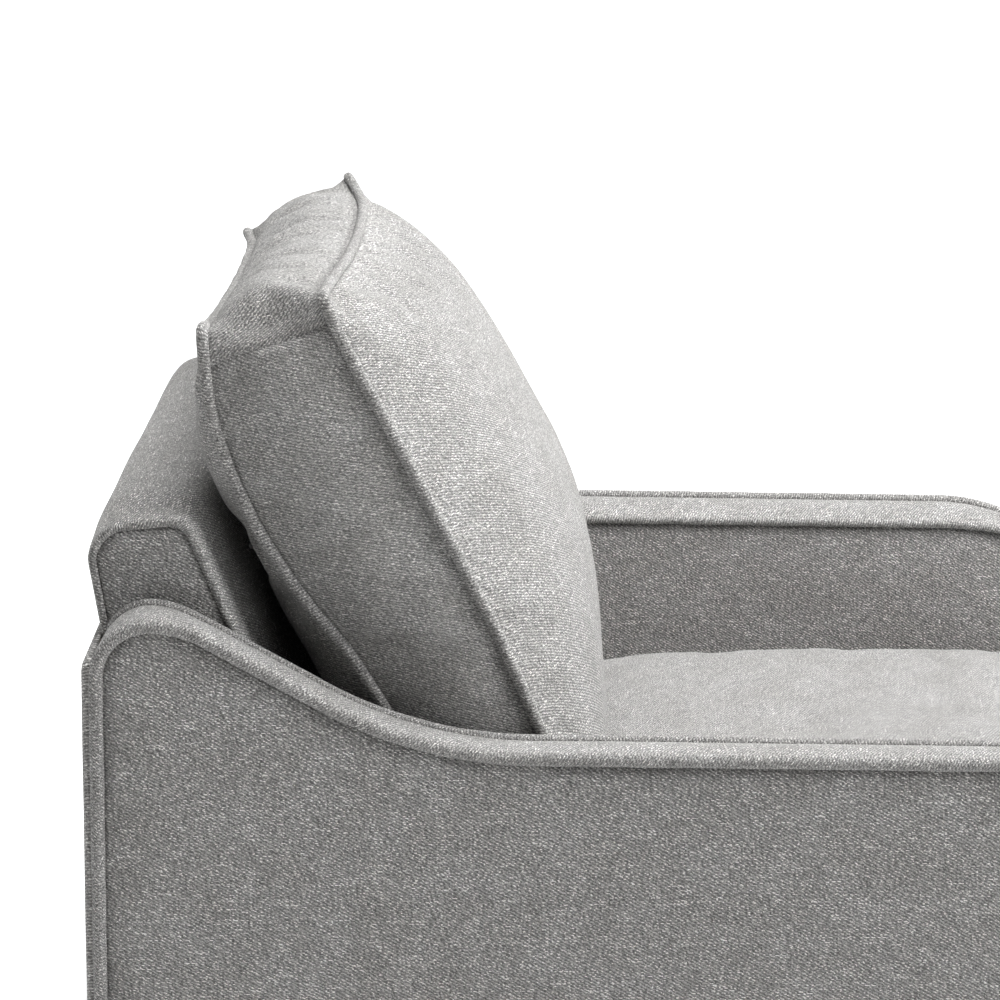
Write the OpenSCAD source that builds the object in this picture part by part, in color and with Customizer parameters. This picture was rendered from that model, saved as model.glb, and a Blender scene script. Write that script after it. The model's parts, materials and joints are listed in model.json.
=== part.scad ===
// Upholstered armchair with slope arms, a loose boxed seat cushion and a loose
// boxed back cushion. Millimetres. +Z is up, the front faces -Y, +X is the
// sitter's left. The origin is on the floor, under the middle of the chair.

/* [Overall] */
// Clear width between the inside faces of the two arms
inner_w = 600; // [560:5:660]
// Thickness of one arm, from its inside face to its outside face
arm_t = 64; // [60:1:70]
// Height of the underside of the upholstered body
body_z = 140; // [120:5:180]

/* [Arm] */
// Height of the top of the arm above the floor, at the rear
arm_top_z = 721; // [700:1:735]
// Radius of the arm's rear top corner
arm_rear_r = 43; // [40:1:48]
// Radius of the crest in front of it
arm_crest_r = 86; // [80:1:95]
// Steepest slope of the arm's S-curve in degrees
arm_slope = 30.5; // [29:0.5:32]
// Radius where the slope flattens out
arm_sweep_r = 320; // [300:5:340]
// Thickness of the foam on the arm's top
arm_foam = 18; // [16:1:22]
// Thickness of the plywood
ply = 12; // [12:1:16]

/* [Back] */
// Lean of the back's front face in degrees
back_lean = 21; // [20:0.5:22]
// Thickness of the foam over the back
back_foam_t = 14; // [12:1:14]

/* [Seat] */
// Pitch of the seat deck in degrees, down to the rear
deck_pitch = 2.5; // [2:0.5:3]
// Height of the deck at its front edge
deck_z = 350; // [345:1:355]
// Height of the seat cushion's boxing
seat_box_h = 115; // [110:1:115]
// Depth of the seat cushion
seat_d = 606; // [580:2:606]
// Rise of the seat cushion's crown
seat_crown = 24; // [15:1:24]
// Number of sinuous springs
spring_n = 5; // [3:1:5]

/* [Back cushion] */
// Lean of the back cushion in degrees
cush_lean = 25; // [24:0.5:25]
// Height of the back cushion along its lean
cush_h = 530; // [500:5:535]
// Thickness of the back cushion at its boxing
cush_t = 120; // [110:1:120]
// Rise of the front panel's crown
cush_crown = 76; // [60:1:76]

/* [Trim] */
// Radius of the welt cord in its cover
welt_r = 4.8; // [4:0.1:4.8]
// Thickness of the upholstery fabric with its backing
cloth = 2; // [1.5:0.1:2]

/* [Legs] */
// Height of the leg without its glide
leg_h = 134; // [110:1:134]
// Radius of the leg at its top
leg_r_top = 25; // [22:0.5:28]
// Radius of the leg at its foot
leg_r_foot = 15; // [13:0.5:18]

/* [Hidden] */
$fn = 32;

grey = [0.42, 0.41, 0.40];
lightgrey = [0.62, 0.62, 0.61];
foam_c = [0.93, 0.88, 0.68];
wood_c = [0.78, 0.62, 0.42];
steel_c = [0.62, 0.63, 0.65];

xi = inner_w / 2;             // inside face of the arm
xo = xi + arm_t;              // outside face of the arm
gap = 0.4;                    // clearance between a welt and the cloth beside it
rebate = 2 + welt_r + gap;    // how far the cloth stops short of a welted edge

// ---------------------------------------------------------------- arm outline
// The outline is walked from the foot of the rear edge, over the crest, down
// the S-curve, along the flat top and round the front, as points [y, z].
// h is the heading below horizontal, nrm(h) the outward normal at it.
function nrm(h) = [-sin(h), cos(h)];
function fwd(h) = [-cos(h), -sin(h)];
function steps(a, b, n) = [for (i = [0:n]) a + (b - a) * i / n];
function outer_arc(c, r, a, b, n) = [for (h = steps(a, b, n)) c + r * nrm(h)];
function inner_arc(c, r, a, b, n) = [for (h = steps(a, b, n)) c - r * nrm(h)];

rear_lean = 1.6;              // the rear edge leans forward as it rises
flat = 1.0;                   // fall of the flat top towards the front
crest_y = 371;                // the arm's highest point
flat_front_y = -343.6;          // the flat top ends here
c_rear = [crest_y, arm_top_z - arm_rear_r];
c_crest = [crest_y, arm_top_z - arm_crest_r];
p_crest = c_crest + arm_crest_r * nrm(arm_slope);
p_sweep = p_crest + 99 * fwd(arm_slope);
c_sweep = p_sweep + arm_sweep_r * nrm(arm_slope);
p_flat = c_sweep - arm_sweep_r * nrm(flat);
p_front = p_flat + (p_flat[0] - flat_front_y) / cos(flat) * fwd(flat);
c_brow = p_front - 200 * nrm(flat);
p_brow = c_brow + 200 * nrm(22);
c_nose = p_brow - 55 * nrm(22);
front_y = c_nose[0] - 55;     // the front edge of the arm
h0 = -90 + rear_lean;
function rear_y(z, d = 0) = c_rear[0] + (arm_rear_r - d) / cos(rear_lean) + (c_rear[1] - z) * tan(rear_lean);

// The arm's outline, d inside the outer surface, down to the level zb
function arm_line(d, zb) = concat(
  [[rear_y(zb, d), zb]],
  outer_arc(c_rear, arm_rear_r - d, h0, 0, 8),
  outer_arc(c_crest, arm_crest_r - d, 4, arm_slope, 7),
  inner_arc(c_sweep, arm_sweep_r + d, arm_slope, flat, 7),
  outer_arc(c_brow, 200 - d, flat, 20, 4),
  outer_arc(c_nose, 55 - d, 26, 90, 8),
  [[front_y + d, zb]]);
// Half the difference between the chair's rearmost and foremost points
y_mid = -(front_y + 2 - welt_r + rear_y(body_z, -11.3)) / 2;
function reversed(v) = [for (i = [len(v) - 1:-1:0]) v[i]];

// A plate of the arm's outline, from x to x + t
module profile(pts, x, t) {
  translate([x, 0, 0]) rotate([90, 0, 90]) linear_extrude(t) polygon(pts);
}
// A strip that follows the arm's outline between two depths
module band(d0, d1, zb, x, t) {
  profile(concat(arm_line(d0, zb), reversed(arm_line(d1, zb))), x, t);
}

// ------------------------------------------------------------------- frames
// The seat deck's own frame: y from its front edge, z = 0 on its top
module on_deck() translate([0, -450, deck_z]) rotate([-deck_pitch, 0, 0]) children();
function deck_at(y) = deck_z - (y + 450) * tan(deck_pitch);
// The back's front face: z up its slope, y into the back
back_foot = [163.7, 330];
module on_back() translate([0, back_foot[0], back_foot[1]]) rotate([-back_lean, 0, 0]) children();
// The back cushion: z up its lean, y from its front edge to its rear edge
cush_foot = [17, 471];        // foot of its front edge
module on_cushion() translate([0, cush_foot[0], cush_foot[1]]) rotate([-cush_lean, 0, 0]) children();
module above_deck(h) on_deck() translate([-500, -100, h]) cube([1000, 1200, 900]);
module below_deck(h) on_deck() translate([-500, -100, h - 900]) cube([1000, 1200, 900]);

// A tube swept along points, with n sides. side is a direction across the path.
function unit(v) = v / norm(v);
function ring(p, t, side, r, n) = let (a = unit(cross(t, side)), b = unit(cross(t, a)))
  [for (k = [0:n - 1]) p + r * (cos(360 * k / n) * a + sin(360 * k / n) * b)];
module tube(path, side, r, n = 6, closed = false) {
  m = len(path);
  function tan_at(i) = closed ? unit(path[(i + 1) % m] - path[(i + m - 1) % m])
    : unit(path[min(i + 1, m - 1)] - path[max(i - 1, 0)]);
  pts = [for (i = [0:m - 1]) each ring(path[i], tan_at(i), side, r, n)];
  last = closed ? m - 1 : m - 2;
  sides = [for (i = [0:last]) for (k = [0:n - 1])
    [i * n + k, i * n + (k + 1) % n, ((i + 1) % m) * n + (k + 1) % n, ((i + 1) % m) * n + k]];
  caps = closed ? [] : [[for (k = [n - 1:-1:0]) k], [for (k = [0:n - 1]) (m - 1) * n + k]];
  polyhedron(pts, concat(sides, caps), convexity = 8);
}
// Points of a rectangle with round corners in the XZ plane, at y
function round_rect(hx, z0, z1, y, r, n = 5) = concat(
  [for (a = steps(0, 90, n)) [hx - r + r * cos(a), y, z1 - r + r * sin(a)]],
  [for (a = steps(90, 180, n)) [-hx + r + r * cos(a), y, z1 - r + r * sin(a)]],
  [for (a = steps(180, 270, n)) [-hx + r + r * cos(a), y, z0 + r + r * sin(a)]],
  [for (a = steps(270, 360, n)) [hx - r + r * cos(a), y, z0 + r + r * sin(a)]]);

// ------------------------------------------------------------------ the arm
// Everything below is drawn on the sitter's left. side() mirrors it.
module side(s) mirror([s == "right" ? 1 : 0, 0, 0]) children();

wood_z = body_z + 2;
x_inner_ply = xi + 17;
x_outer_ply = xo - 6 - ply;
leg_x = 305;
leg_front_y = -386;
leg_rear_y = 363;
screw_at = [for (sx = [-28, 28]) for (sy = [-28, 28]) [sx, sy]];
module at_legs_left() for (y = [leg_front_y, leg_rear_y]) translate([leg_x, y, 0]) children();
module screw_holes() at_legs_left() for (p = screw_at)
  translate([p[0], p[1], wood_z - 1]) cylinder(r = 2.05, h = 27);

module arm_panel_inner(s) color(wood_c) side(s) difference() {
  profile(arm_line(arm_foam + cloth, wood_z), x_inner_ply, ply);
  screw_holes();
}
module arm_panel_outer(s) color(wood_c) side(s)
  profile(arm_line(arm_foam + cloth, wood_z), x_outer_ply, ply);

// Battens glued between the two plywood panels
block_x = x_inner_ply + ply;
block_t = x_outer_ply - block_x;
module arm_blocks(s) color([0.83, 0.70, 0.50]) side(s) difference() {
  for (b = [
    [-420, -375, wood_z, 520], [364, 394, wood_z, 650], [-375, 364, wood_z, wood_z + 45],
    [-375, 364, 380, 420], [-330, 60, 550, 583]])
    translate([block_x, b[0], b[2]]) cube([block_t, b[1] - b[0], b[3] - b[2]]);
  screw_holes();
}
module arm_top_foam(s) color(foam_c) side(s)
  band(cloth, cloth + arm_foam, body_z, x_inner_ply, xo - rebate - x_inner_ply);
// The sheet inside the inner cover: above the deck, and down the front
module inside_sheet(x, t) intersection() {
  profile(arm_line(rebate, body_z), x, t);
  union() {
    above_deck(-23.5);
    translate([0, -500, 0]) cube([500, 72.5, 400]);
  }
}
module arm_inside_foam(s) color(foam_c) side(s) inside_sheet(xi + cloth, 15);
module arm_cover_inside(s) color(grey) side(s) inside_sheet(xi, cloth);
module arm_outside_padding(s) color([0.95, 0.95, 0.93]) side(s)
  profile(arm_line(rebate, body_z), xo - 6, 4);
module arm_cover_outside(s) color(grey) side(s)
  profile(arm_line(rebate, body_z), xo - cloth, cloth);
module arm_cover_band(s) color(lightgrey) side(s)
  band(0, cloth, body_z, xi + rebate, arm_t - 2 * rebate);
// The outer welt runs all round. The inner one starts above the outside back.
module arm_welts(s) color(lightgrey) side(s) {
  line = arm_line(2, body_z);
  tube([for (p = line) [xo - 2, p[0], p[1]]], [1, 0, 0], welt_r, 8);
  tube([for (i = [3:len(line) - 1]) [xi + 2, line[i][0], line[i][1]]], [1, 0, 0], welt_r, 8);
}

// ------------------------------------------------------------------ seat box
rail_low = wood_z;
module seat_front_rail() color(wood_c) difference() {
  intersection() {
    translate([-x_inner_ply, -425, rail_low]) cube([2 * x_inner_ply, 25, 300]);
    below_deck(-24);
  }
  for (s = ["left", "right"]) side(s) screw_holes();
}
// The lower rail at the rear, and the rail that holds the springs' rear ends
module seat_rear_rails() color(wood_c) {
  difference() {
    translate([-x_inner_ply, 382, rail_low]) cube([2 * x_inner_ply, 25, 60]);
    for (s = ["left", "right"]) side(s) screw_holes();
  }
  intersection() {
    translate([-back_x + 18, 172, 230]) cube([2 * (back_x - 18), 28, 200]);
    below_deck(-24);
  }
}
module seat_side_rails() color(wood_c) for (s = ["left", "right"]) side(s) difference() {
  intersection() {
    translate([289, -400, rail_low]) cube([28, 782, 300]);
    below_deck(-24);
  }
  at_legs_left() translate([0, 0, rail_low - 1]) cylinder(r = 6.8, h = 31);
}
module corner_blocks() color([0.83, 0.70, 0.50]) for (s = ["left", "right"]) side(s)
  difference() {
    for (c = [[-400, 1], [382, -1]]) translate([289, c[0], rail_low]) linear_extrude(40)
      polygon([[0, 0], [-90, 0], [-90, c[1] * 20], [-20, c[1] * 90], [0, c[1] * 90]]);
    screw_holes();
  }

// Sinuous springs: a meander of round wire from the front rail to the spring rail
wire_r = 1.9;
spring_y0 = 32;
spring_y1 = 641;
loops = 10;
spring_x = [for (i = [0:spring_n - 1]) spring_n == 1 ? 0 : -220 + 440 * i / (spring_n - 1)];
function meander(x0) = concat(
  [[x0 - 18, spring_y0, -20.9], [x0 + 10, spring_y0, -20.9]],
  [for (i = [0:loops * 9]) let (a = 360 * i / 9, t = i / (loops * 9))
    [x0 + 24 * sin(a), spring_y0 + 14 + t * (spring_y1 - spring_y0 - 28) - 7 * sin(2 * a), -20.9]],
  [[x0 - 10, spring_y1, -20.9], [x0 + 18, spring_y1, -20.9]]);
module sinuous_springs() color(steel_c) on_deck()
  for (x = spring_x) tube(meander(x), [0, 0, 1], wire_r, 6);
// Clips that hold the end of each wire down on its rail
module clip() difference() {
  translate([-9, -5.5, -3.1]) cube([18, 11, 6]);
  translate([-10, 0, 0]) rotate([0, 90, 0]) cylinder(r = 2.2, h = 20);
  translate([-10, 0, -2.2]) cube([20, 10, 4.4]);
}
module spring_clips() color([0.3, 0.3, 0.32]) on_deck() for (x = spring_x) {
  translate([x - 6, spring_y0, -20.9]) clip();
  translate([x + 6, spring_y1, -20.9]) mirror([0, 1, 0]) clip();
}
module spring_tie_wires() color(steel_c) on_deck() for (y = [190, 330, 470])
  translate([-272, y, -24.6]) rotate([0, 90, 0]) cylinder(r = 1.5, h = 544);
module spring_insulator() color([0.35, 0.34, 0.33]) on_deck()
  translate([-286, 26, -17.8]) cube([572, 584, 1.6]);
module deck_foam() color(foam_c) on_deck() translate([-298, 26, -16]) cube([596, 586, 14.4]);
module deck_cloth() color([0.25, 0.25, 0.25]) on_deck() translate([-296.5, 2.2, -1.5]) cube([593, 609.8, 1.5]);

// -------------------------------------------------------------------- front
module front_border_foam() color(foam_c) intersection() {
  translate([-296.5, -448, body_z]) cube([593, 21.4, 300]);
  below_deck(-1.8);
}
module front_border_cover() color(grey) intersection() {
  translate([-296.5, -450, body_z]) cube([593, cloth, 300]);
  below_deck(-0.2);
}

// --------------------------------------------------------------------- back
// Section of the upholstered back as points [y, z], d inside its surface.
// b is the outward normal's angle: 0 faces the front, 90 up, 180 the rear.
function bn(b) = [-cos(b), sin(b)];
c_bf = [361, 761];
c_br = [387, 750.7];
function back_line(d) = concat(
  [back_foot + [d / cos(back_lean), 0]],
  [for (b = steps(back_lean, 95, 6)) c_bf + (30 - d) * bn(b)],
  [for (b = steps(95, 188, 8)) c_br + (38 - d) * bn(b)],
  [c_br + (38 - d) * bn(188) + 46 * [-sin(8), -cos(8)]]);
back_x = 289;
module back_section(pts, x, t) translate([x, 0, 0]) rotate([90, 0, 90]) linear_extrude(t) polygon(pts);
back_ply_d = back_foam_t + cloth + 2;
module back_side_panels() color(wood_c) for (s = ["left", "right"]) side(s)
  back_section(concat(
    [[184, 205], [184, 325]], back_line(back_ply_d),
    [[rear_y(690, 2), 690], [rear_y(330, 2), 330], [380, 330], [380, 205]]), back_x - 18, 18);
module back_rails() color(wood_c) {
  rail_w = 2 * (back_x - 18);
  for (r = [[352, 402, 738, 756], [392, 412, 640, 690], [352, 380, 210, 270]])
    translate([-rail_w / 2, r[0], r[2]]) cube([rail_w, r[1] - r[0], r[3] - r[2]]);
}
module back_webbing() color([0.15, 0.15, 0.15]) on_back() for (i = [0:4])
  translate([-back_x + 1, back_foam_t + cloth + 0.1, 40 + 82 * i]) cube([2 * back_x - 2, 1.3, 55]);
module back_foam() color(foam_c)
  back_section(concat(back_line(cloth), reversed(back_line(cloth + back_foam_t))), -back_x, 2 * back_x);
module back_cover_front() color(lightgrey)
  back_section(concat(back_line(0), reversed(back_line(cloth))), -back_x - 5, 2 * back_x + 10);
module back_cover_sides() color(grey) for (s = ["left", "right"]) side(s)
  back_section(concat([[250, 540]], [for (i = [1:len(back_line(3)) - 1]) back_line(cloth)[i]], [[rear_y(690, 1), 690], [rear_y(540, 1), 540]]),
    back_x + 3.5, cloth - 0.5);

// ------------------------------------------------------------- outside back
// A board, its padding and its cover over the rear of the arms and the back
module outside_sheet(d0, d1, hx, z0, z1) translate([-hx, 0, 0]) rotate([90, 0, 90]) linear_extrude(2 * hx)
  polygon([[rear_y(z0, d0), z0], [rear_y(z0, d1), z0], [rear_y(z1, d1), z1], [rear_y(z1, d0), z1]]);
ob_hx = xo - 13;
ob_top = 689;
module outside_back_board() color([0.72, 0.62, 0.48]) outside_sheet(-0.3, -3.3, ob_hx, body_z, ob_top - 4);
module outside_back_padding() color([0.95, 0.95, 0.93]) outside_sheet(-3.4, -9.3, ob_hx, body_z, ob_top - 2);
module outside_back_cover() color(grey) {
  outside_sheet(-9.4, -11.3, ob_hx + 1, body_z, ob_top);
  outside_sheet(-0.3, -11, ob_hx + 1, ob_top - 1.9, ob_top);
}

// -------------------------------------------------------------- seat cushion
// Level plates whose hull gives a crowned block
module slab(hx, y0, y1, z) translate([-hx, y0, z]) cube([2 * hx, y1 - y0, 0.02]);
seat_hx = xi - 7;
// d is the depth below the cloth's outer surface
module seat_crowned(d) hull() {
  slab(seat_hx - d, d, seat_d - d, 1 + d);
  slab(seat_hx - d, d, seat_d - d, seat_box_h - 5 - d / 2);
  slab(seat_hx - 8 - d, 8 + d, seat_d - 8 - d, seat_box_h + 3 - d);
  slab(seat_hx - 50 - d, 45 + d, seat_d - 45 - d, seat_box_h + 0.65 * seat_crown - d);
  slab(seat_hx - 130, 125, seat_d - 125, seat_box_h + seat_crown - d);
}
module seat_cushion_core() color(foam_c) on_deck() intersection() {
  seat_crowned(cloth + 0.1);
  // room for the welts and for the zip
  union() {
    translate([-400, -50, 7.8]) cube([800, seat_d + 47, seat_box_h - 15.2]);
    translate([-seat_hx + 9, 9, 0]) cube([2 * seat_hx - 18, seat_d - 18, 300]);
  }
}
module seat_cushion_panels() color(lightgrey) on_deck() {
  // top panel
  intersection() {
    difference() { seat_crowned(0); seat_crowned(cloth); }
    translate([-seat_hx + 8.6, 8.6, seat_box_h - 3]) cube([2 * seat_hx - 17.2, seat_d - 17.2, 200]);
  }
  // bottom panel
  translate([-seat_hx + 8.6, 8.6, 1]) cube([2 * seat_hx - 17.2, seat_d - 17.2, cloth - 0.2]);
}
zip_len = 480;
zip_z = 60;
module seat_cushion_boxing() color(grey) on_deck() difference() {
  translate([-seat_hx, 0, 8]) cube([2 * seat_hx, seat_d, seat_box_h - 15]);
  translate([-seat_hx + cloth, cloth, 0]) cube([2 * (seat_hx - cloth), seat_d - 2 * cloth, 200]);
  translate([-zip_len / 2, seat_d - 10, zip_z - 6]) cube([zip_len, 20, 12]);
}
function loop_at(z) = [for (p = round_rect(seat_hx - 3, 3, seat_d - 3, 0, 6)) [p[0], p[2], z]];
module seat_cushion_welts() color(lightgrey) on_deck() {
  tube(loop_at(3.1), [0, 0, 1], min(welt_r, 4.6) - 1.6, 8, true);
  tube(loop_at(seat_box_h - 2), [0, 0, 1], welt_r, 8, true);
}

// A closed zip along X: two tapes, joined by the coil that stands on them
module zip_chain(len) {
  for (z = [-6, 0.1]) translate([-len / 2, -0.8, z]) cube([len, 0.8, 5.9]);
  translate([-len / 2, 1.2, 0]) rotate([0, 90, 0]) cylinder(r = 1.7, h = len);
}
// The slider holds the coil in an undercut groove. Its bridge holds the pull.
module zip_slider() difference() {
  union() {
    translate([-6, 0.3, -3.8]) cube([12, 4.1, 7.6]);
    for (x = [-3.4, 1.8]) translate([x, 4.2, -1.5]) cube([1.6, 3.4, 3]);
    translate([-3.4, 7, -1.5]) cube([6.8, 1.2, 3]);
  }
  translate([-7, 1.2, 0]) rotate([0, 90, 0]) cylinder(r = 2, h = 14);
}
// The pull's pin goes under the bridge, and its tab lies along the chain
pull_y = 5.7;
module zip_pull() {
  translate([0, pull_y, -5]) cylinder(r = 0.8, h = 10);
  for (z = [-5, 2.2]) translate([0, pull_y - 0.6, z]) cube([14, 1.2, 2.8]);
  translate([9, pull_y - 0.6, -2.3]) cube([5, 1.2, 4.6]);
}
zip_x0 = -zip_len / 2 + 12;   // where the closed zip's slider stands
module on_seat_zip() on_deck() translate([0, seat_d, zip_z]) children();
module seat_zip_chain() color([0.12, 0.12, 0.12]) on_seat_zip() zip_chain(zip_len - 2);
module seat_zip_slider() color(steel_c) on_seat_zip() translate([zip_x0, 0, 0]) zip_slider();
module seat_zip_pull() color(steel_c) on_seat_zip() translate([zip_x0, 0, 0]) zip_pull();

// -------------------------------------------------------------- back cushion
cush_hx = 290;
rear_crown = 20;
cush_rise = 49.2;             // the bottom face rises this much to the rear, to lie along the seat
// A plate across the cushion's thickness, at y
module plate(y, hx, z0, z1) translate([-hx, y, z0]) cube([2 * hx, 0.02, z1 - z0]);
function foot_z(y) = cush_rise * y / cush_t;
// The block inside the boxing, d inside its surface and e longer at each face
module cush_block(d, e = 0) translate([-cush_hx + d, 0, 0]) rotate([90, 0, 90])
  linear_extrude(2 * (cush_hx - d)) polygon([[8 - e, foot_z(8 - e) + d * 1.1],
    [cush_t - 8 + e, foot_z(cush_t - 8 + e) + d * 1.1], [cush_t - 8 + e, cush_h - d], [8 - e, cush_h - d]]);
// Crown of the front panel and crown of the rear panel
module cush_front_crown(d) hull() {
  plate(10, cush_hx - 9 - d, 16 + d, cush_h - 9 - d);
  plate(-1 + d, cush_hx - 9 - d, 14 + d, cush_h - 9 - d);
  plate(-0.5 * cush_crown + d, cush_hx - 40 - d, 34 + d, cush_h - 25 - d);
  plate(-0.85 * cush_crown + d, cush_hx - 100 - d, 102 + d, cush_h - 90 - d);
  plate(-cush_crown + d, cush_hx - 180, 180, cush_h - 160);
}
module cush_rear_crown(d) hull() {
  plate(cush_t - 10, cush_hx - 9 - d, cush_rise + 12 + d, cush_h - 9 - d);
  plate(cush_t + 1 - d, cush_hx - 9 - d, cush_rise + 14 + d, cush_h - 9 - d);
  plate(cush_t + rear_crown - d, cush_hx - 40, 110, cush_h - 55);
}
module back_cushion_fill() color([0.96, 0.96, 0.94]) on_cushion() union() {
  cush_block(cloth + 0.1);
  cush_front_crown(cloth + 0.1);
  cush_rear_crown(cloth + 0.1);
}
zip_u = 366;
module back_cushion_panels() color(lightgrey) on_cushion() {
  intersection() {
    difference() { cush_front_crown(0); cush_front_crown(cloth); }
    translate([-400, -200, -50]) cube([800, 200, 800]);
  }
  intersection() {
    difference() { cush_rear_crown(0); cush_rear_crown(cloth); translate([-zip_len / 2, cush_t, zip_u - 6]) cube([zip_len, 50, 12]); }
    translate([-400, cush_t, -50]) cube([800, 200, 800]);
  }
}
module back_cushion_boxing() color(grey) on_cushion() difference() {
  cush_block(0);
  cush_block(cloth, 30);
}
module cush_loop(y, z0) tube(round_rect(cush_hx - 3, z0, cush_h - 3, y, 6), [0, 1, 0], welt_r, 8, true);
module back_cushion_welts() color(lightgrey) on_cushion() {
  cush_loop(2.6, 8.5);
  cush_loop(cush_t - 2.6, cush_rise + 6);
}
module on_back_zip() on_cushion() translate([0, cush_t + rear_crown, zip_u]) children();
module back_zip_chain() color([0.12, 0.12, 0.12]) on_back_zip() zip_chain(zip_len - 2);
module back_zip_slider() color(steel_c) on_back_zip() translate([zip_x0, 0, 0]) zip_slider();
module back_zip_pull() color(steel_c) on_back_zip() translate([zip_x0, 0, 0]) zip_pull();

// ------------------------------------------------------------- underside, legs
module dust_cover() color([0.1, 0.1, 0.1]) difference() {
  translate([-288, -424, body_z + 0.4]) cube([576, 806, 1.5]);
  for (s = ["left", "right"]) side(s) at_legs_left() translate([-41.5, -41.5, 100]) cube([83, 83, 80]);
}
plate_z = wood_z - 3;
module legs() color([0.33, 0.20, 0.12]) for (s = ["left", "right"]) side(s) at_legs_left() difference() {
  union() {
    translate([0, 0, plate_z - leg_h]) cylinder(r1 = leg_r_foot, r2 = leg_r_top, h = leg_h - 6, $fn = 64);
    translate([0, 0, plate_z - 6]) cylinder(r = leg_r_top, h = 6, $fn = 64);
  }
  translate([0, 0, plate_z - 42]) cylinder(r = 4, h = 43);
  translate([0, 0, plate_z - leg_h - 1]) cylinder(r = 1.25, h = 21);
}
module leg_plates() color(steel_c) for (s = ["left", "right"]) side(s) at_legs_left() difference() {
  union() {
    translate([-40, -40, plate_z]) cube([80, 80, 3]);
    translate([0, 0, plate_z]) cylinder(r = 6.5, h = 15);
  }
  translate([0, 0, plate_z - 1]) cylinder(r = 4, h = 20);
  for (p = screw_at) translate([p[0], p[1], plate_z - 1]) cylinder(r = 2.3, h = 5);
}
// Hanger bolts and plate screws
module leg_hardware() color(steel_c) for (s = ["left", "right"]) side(s) at_legs_left() {
  translate([0, 0, plate_z - 40]) cylinder(r = 3.95, h = 60);
  for (p = screw_at) translate([p[0], p[1], plate_z - 2.4]) {
    cylinder(r = 4, h = 2.4);
    cylinder(r = 2, h = 27);
  }
}
// Nylon glides, nailed into the legs' feet
module leg_glides() color([0.85, 0.84, 0.80]) for (s = ["left", "right"]) side(s) at_legs_left() {
  cylinder(r = leg_r_foot - 1.5, h = plate_z - leg_h, $fn = 64);
  cylinder(r = 1.2, h = plate_z - leg_h + 18);
}

module place() translate([0, y_mid, 0]) children();

place() arm_panel_inner("left");  // arm_panel_inner_left
place() arm_panel_outer("left");  // arm_panel_outer_left
place() arm_blocks("left");  // arm_blocks_left
place() arm_top_foam("left");  // arm_top_foam_left
place() arm_inside_foam("left");  // arm_inside_foam_left
place() arm_outside_padding("left");  // arm_outside_padding_left
place() arm_cover_inside("left");  // arm_cover_inside_left
place() arm_cover_outside("left");  // arm_cover_outside_left
place() arm_cover_band("left");  // arm_cover_band_left
place() arm_welts("left");  // arm_welts_left
place() arm_panel_inner("right");  // arm_panel_inner_right
place() arm_panel_outer("right");  // arm_panel_outer_right
place() arm_blocks("right");  // arm_blocks_right
place() arm_top_foam("right");  // arm_top_foam_right
place() arm_inside_foam("right");  // arm_inside_foam_right
place() arm_outside_padding("right");  // arm_outside_padding_right
place() arm_cover_inside("right");  // arm_cover_inside_right
place() arm_cover_outside("right");  // arm_cover_outside_right
place() arm_cover_band("right");  // arm_cover_band_right
place() arm_welts("right");  // arm_welts_right
place() seat_front_rail();
place() seat_rear_rails();
place() seat_side_rails();
place() corner_blocks();
place() sinuous_springs();
place() spring_clips();
place() spring_tie_wires();
place() spring_insulator();
place() deck_foam();
place() deck_cloth();
place() back_side_panels();
place() back_rails();
place() back_webbing();
place() back_foam();
place() back_cover_front();
place() back_cover_sides();
place() outside_back_board();
place() outside_back_padding();
place() outside_back_cover();
place() front_border_foam();
place() front_border_cover();
place() seat_cushion_core();
place() seat_cushion_panels();
place() seat_cushion_boxing();
place() seat_cushion_welts();
place() seat_zip_chain();
place() seat_zip_slider();
place() seat_zip_pull();
place() back_cushion_fill();
place() back_cushion_panels();
place() back_cushion_boxing();
place() back_cushion_welts();
place() back_zip_chain();
place() back_zip_slider();
place() back_zip_pull();
place() dust_cover();
place() legs();
place() leg_plates();
place() leg_hardware();
place() leg_glides();
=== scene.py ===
import bmesh
import bpy
import json
import math
import numpy as np
from mathutils import Matrix, Vector, geometry, noise


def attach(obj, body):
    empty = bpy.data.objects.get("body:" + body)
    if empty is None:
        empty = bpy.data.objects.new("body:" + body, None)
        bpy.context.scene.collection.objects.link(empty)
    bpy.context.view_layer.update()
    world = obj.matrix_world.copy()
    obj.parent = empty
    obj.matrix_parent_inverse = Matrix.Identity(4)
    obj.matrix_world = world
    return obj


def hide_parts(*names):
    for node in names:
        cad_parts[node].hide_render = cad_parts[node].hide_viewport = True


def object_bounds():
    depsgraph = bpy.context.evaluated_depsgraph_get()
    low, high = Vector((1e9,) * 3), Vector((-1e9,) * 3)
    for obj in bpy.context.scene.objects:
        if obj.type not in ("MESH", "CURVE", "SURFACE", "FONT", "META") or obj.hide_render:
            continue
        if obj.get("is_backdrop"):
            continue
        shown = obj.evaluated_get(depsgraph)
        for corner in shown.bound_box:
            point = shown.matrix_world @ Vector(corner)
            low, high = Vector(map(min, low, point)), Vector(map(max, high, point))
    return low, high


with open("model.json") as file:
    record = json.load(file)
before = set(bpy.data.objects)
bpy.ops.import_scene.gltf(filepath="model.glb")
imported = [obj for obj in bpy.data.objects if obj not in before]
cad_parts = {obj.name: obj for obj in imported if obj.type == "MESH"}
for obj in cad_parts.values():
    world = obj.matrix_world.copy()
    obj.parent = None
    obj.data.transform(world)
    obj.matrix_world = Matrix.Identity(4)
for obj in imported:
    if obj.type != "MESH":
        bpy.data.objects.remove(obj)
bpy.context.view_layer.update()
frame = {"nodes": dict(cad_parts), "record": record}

NODES = frame["nodes"]
SCENE = bpy.context.scene
YM = 5.939                      # shift in y, so that the whole box is centred, mm


def rad(a):
    return math.radians(a)


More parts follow.
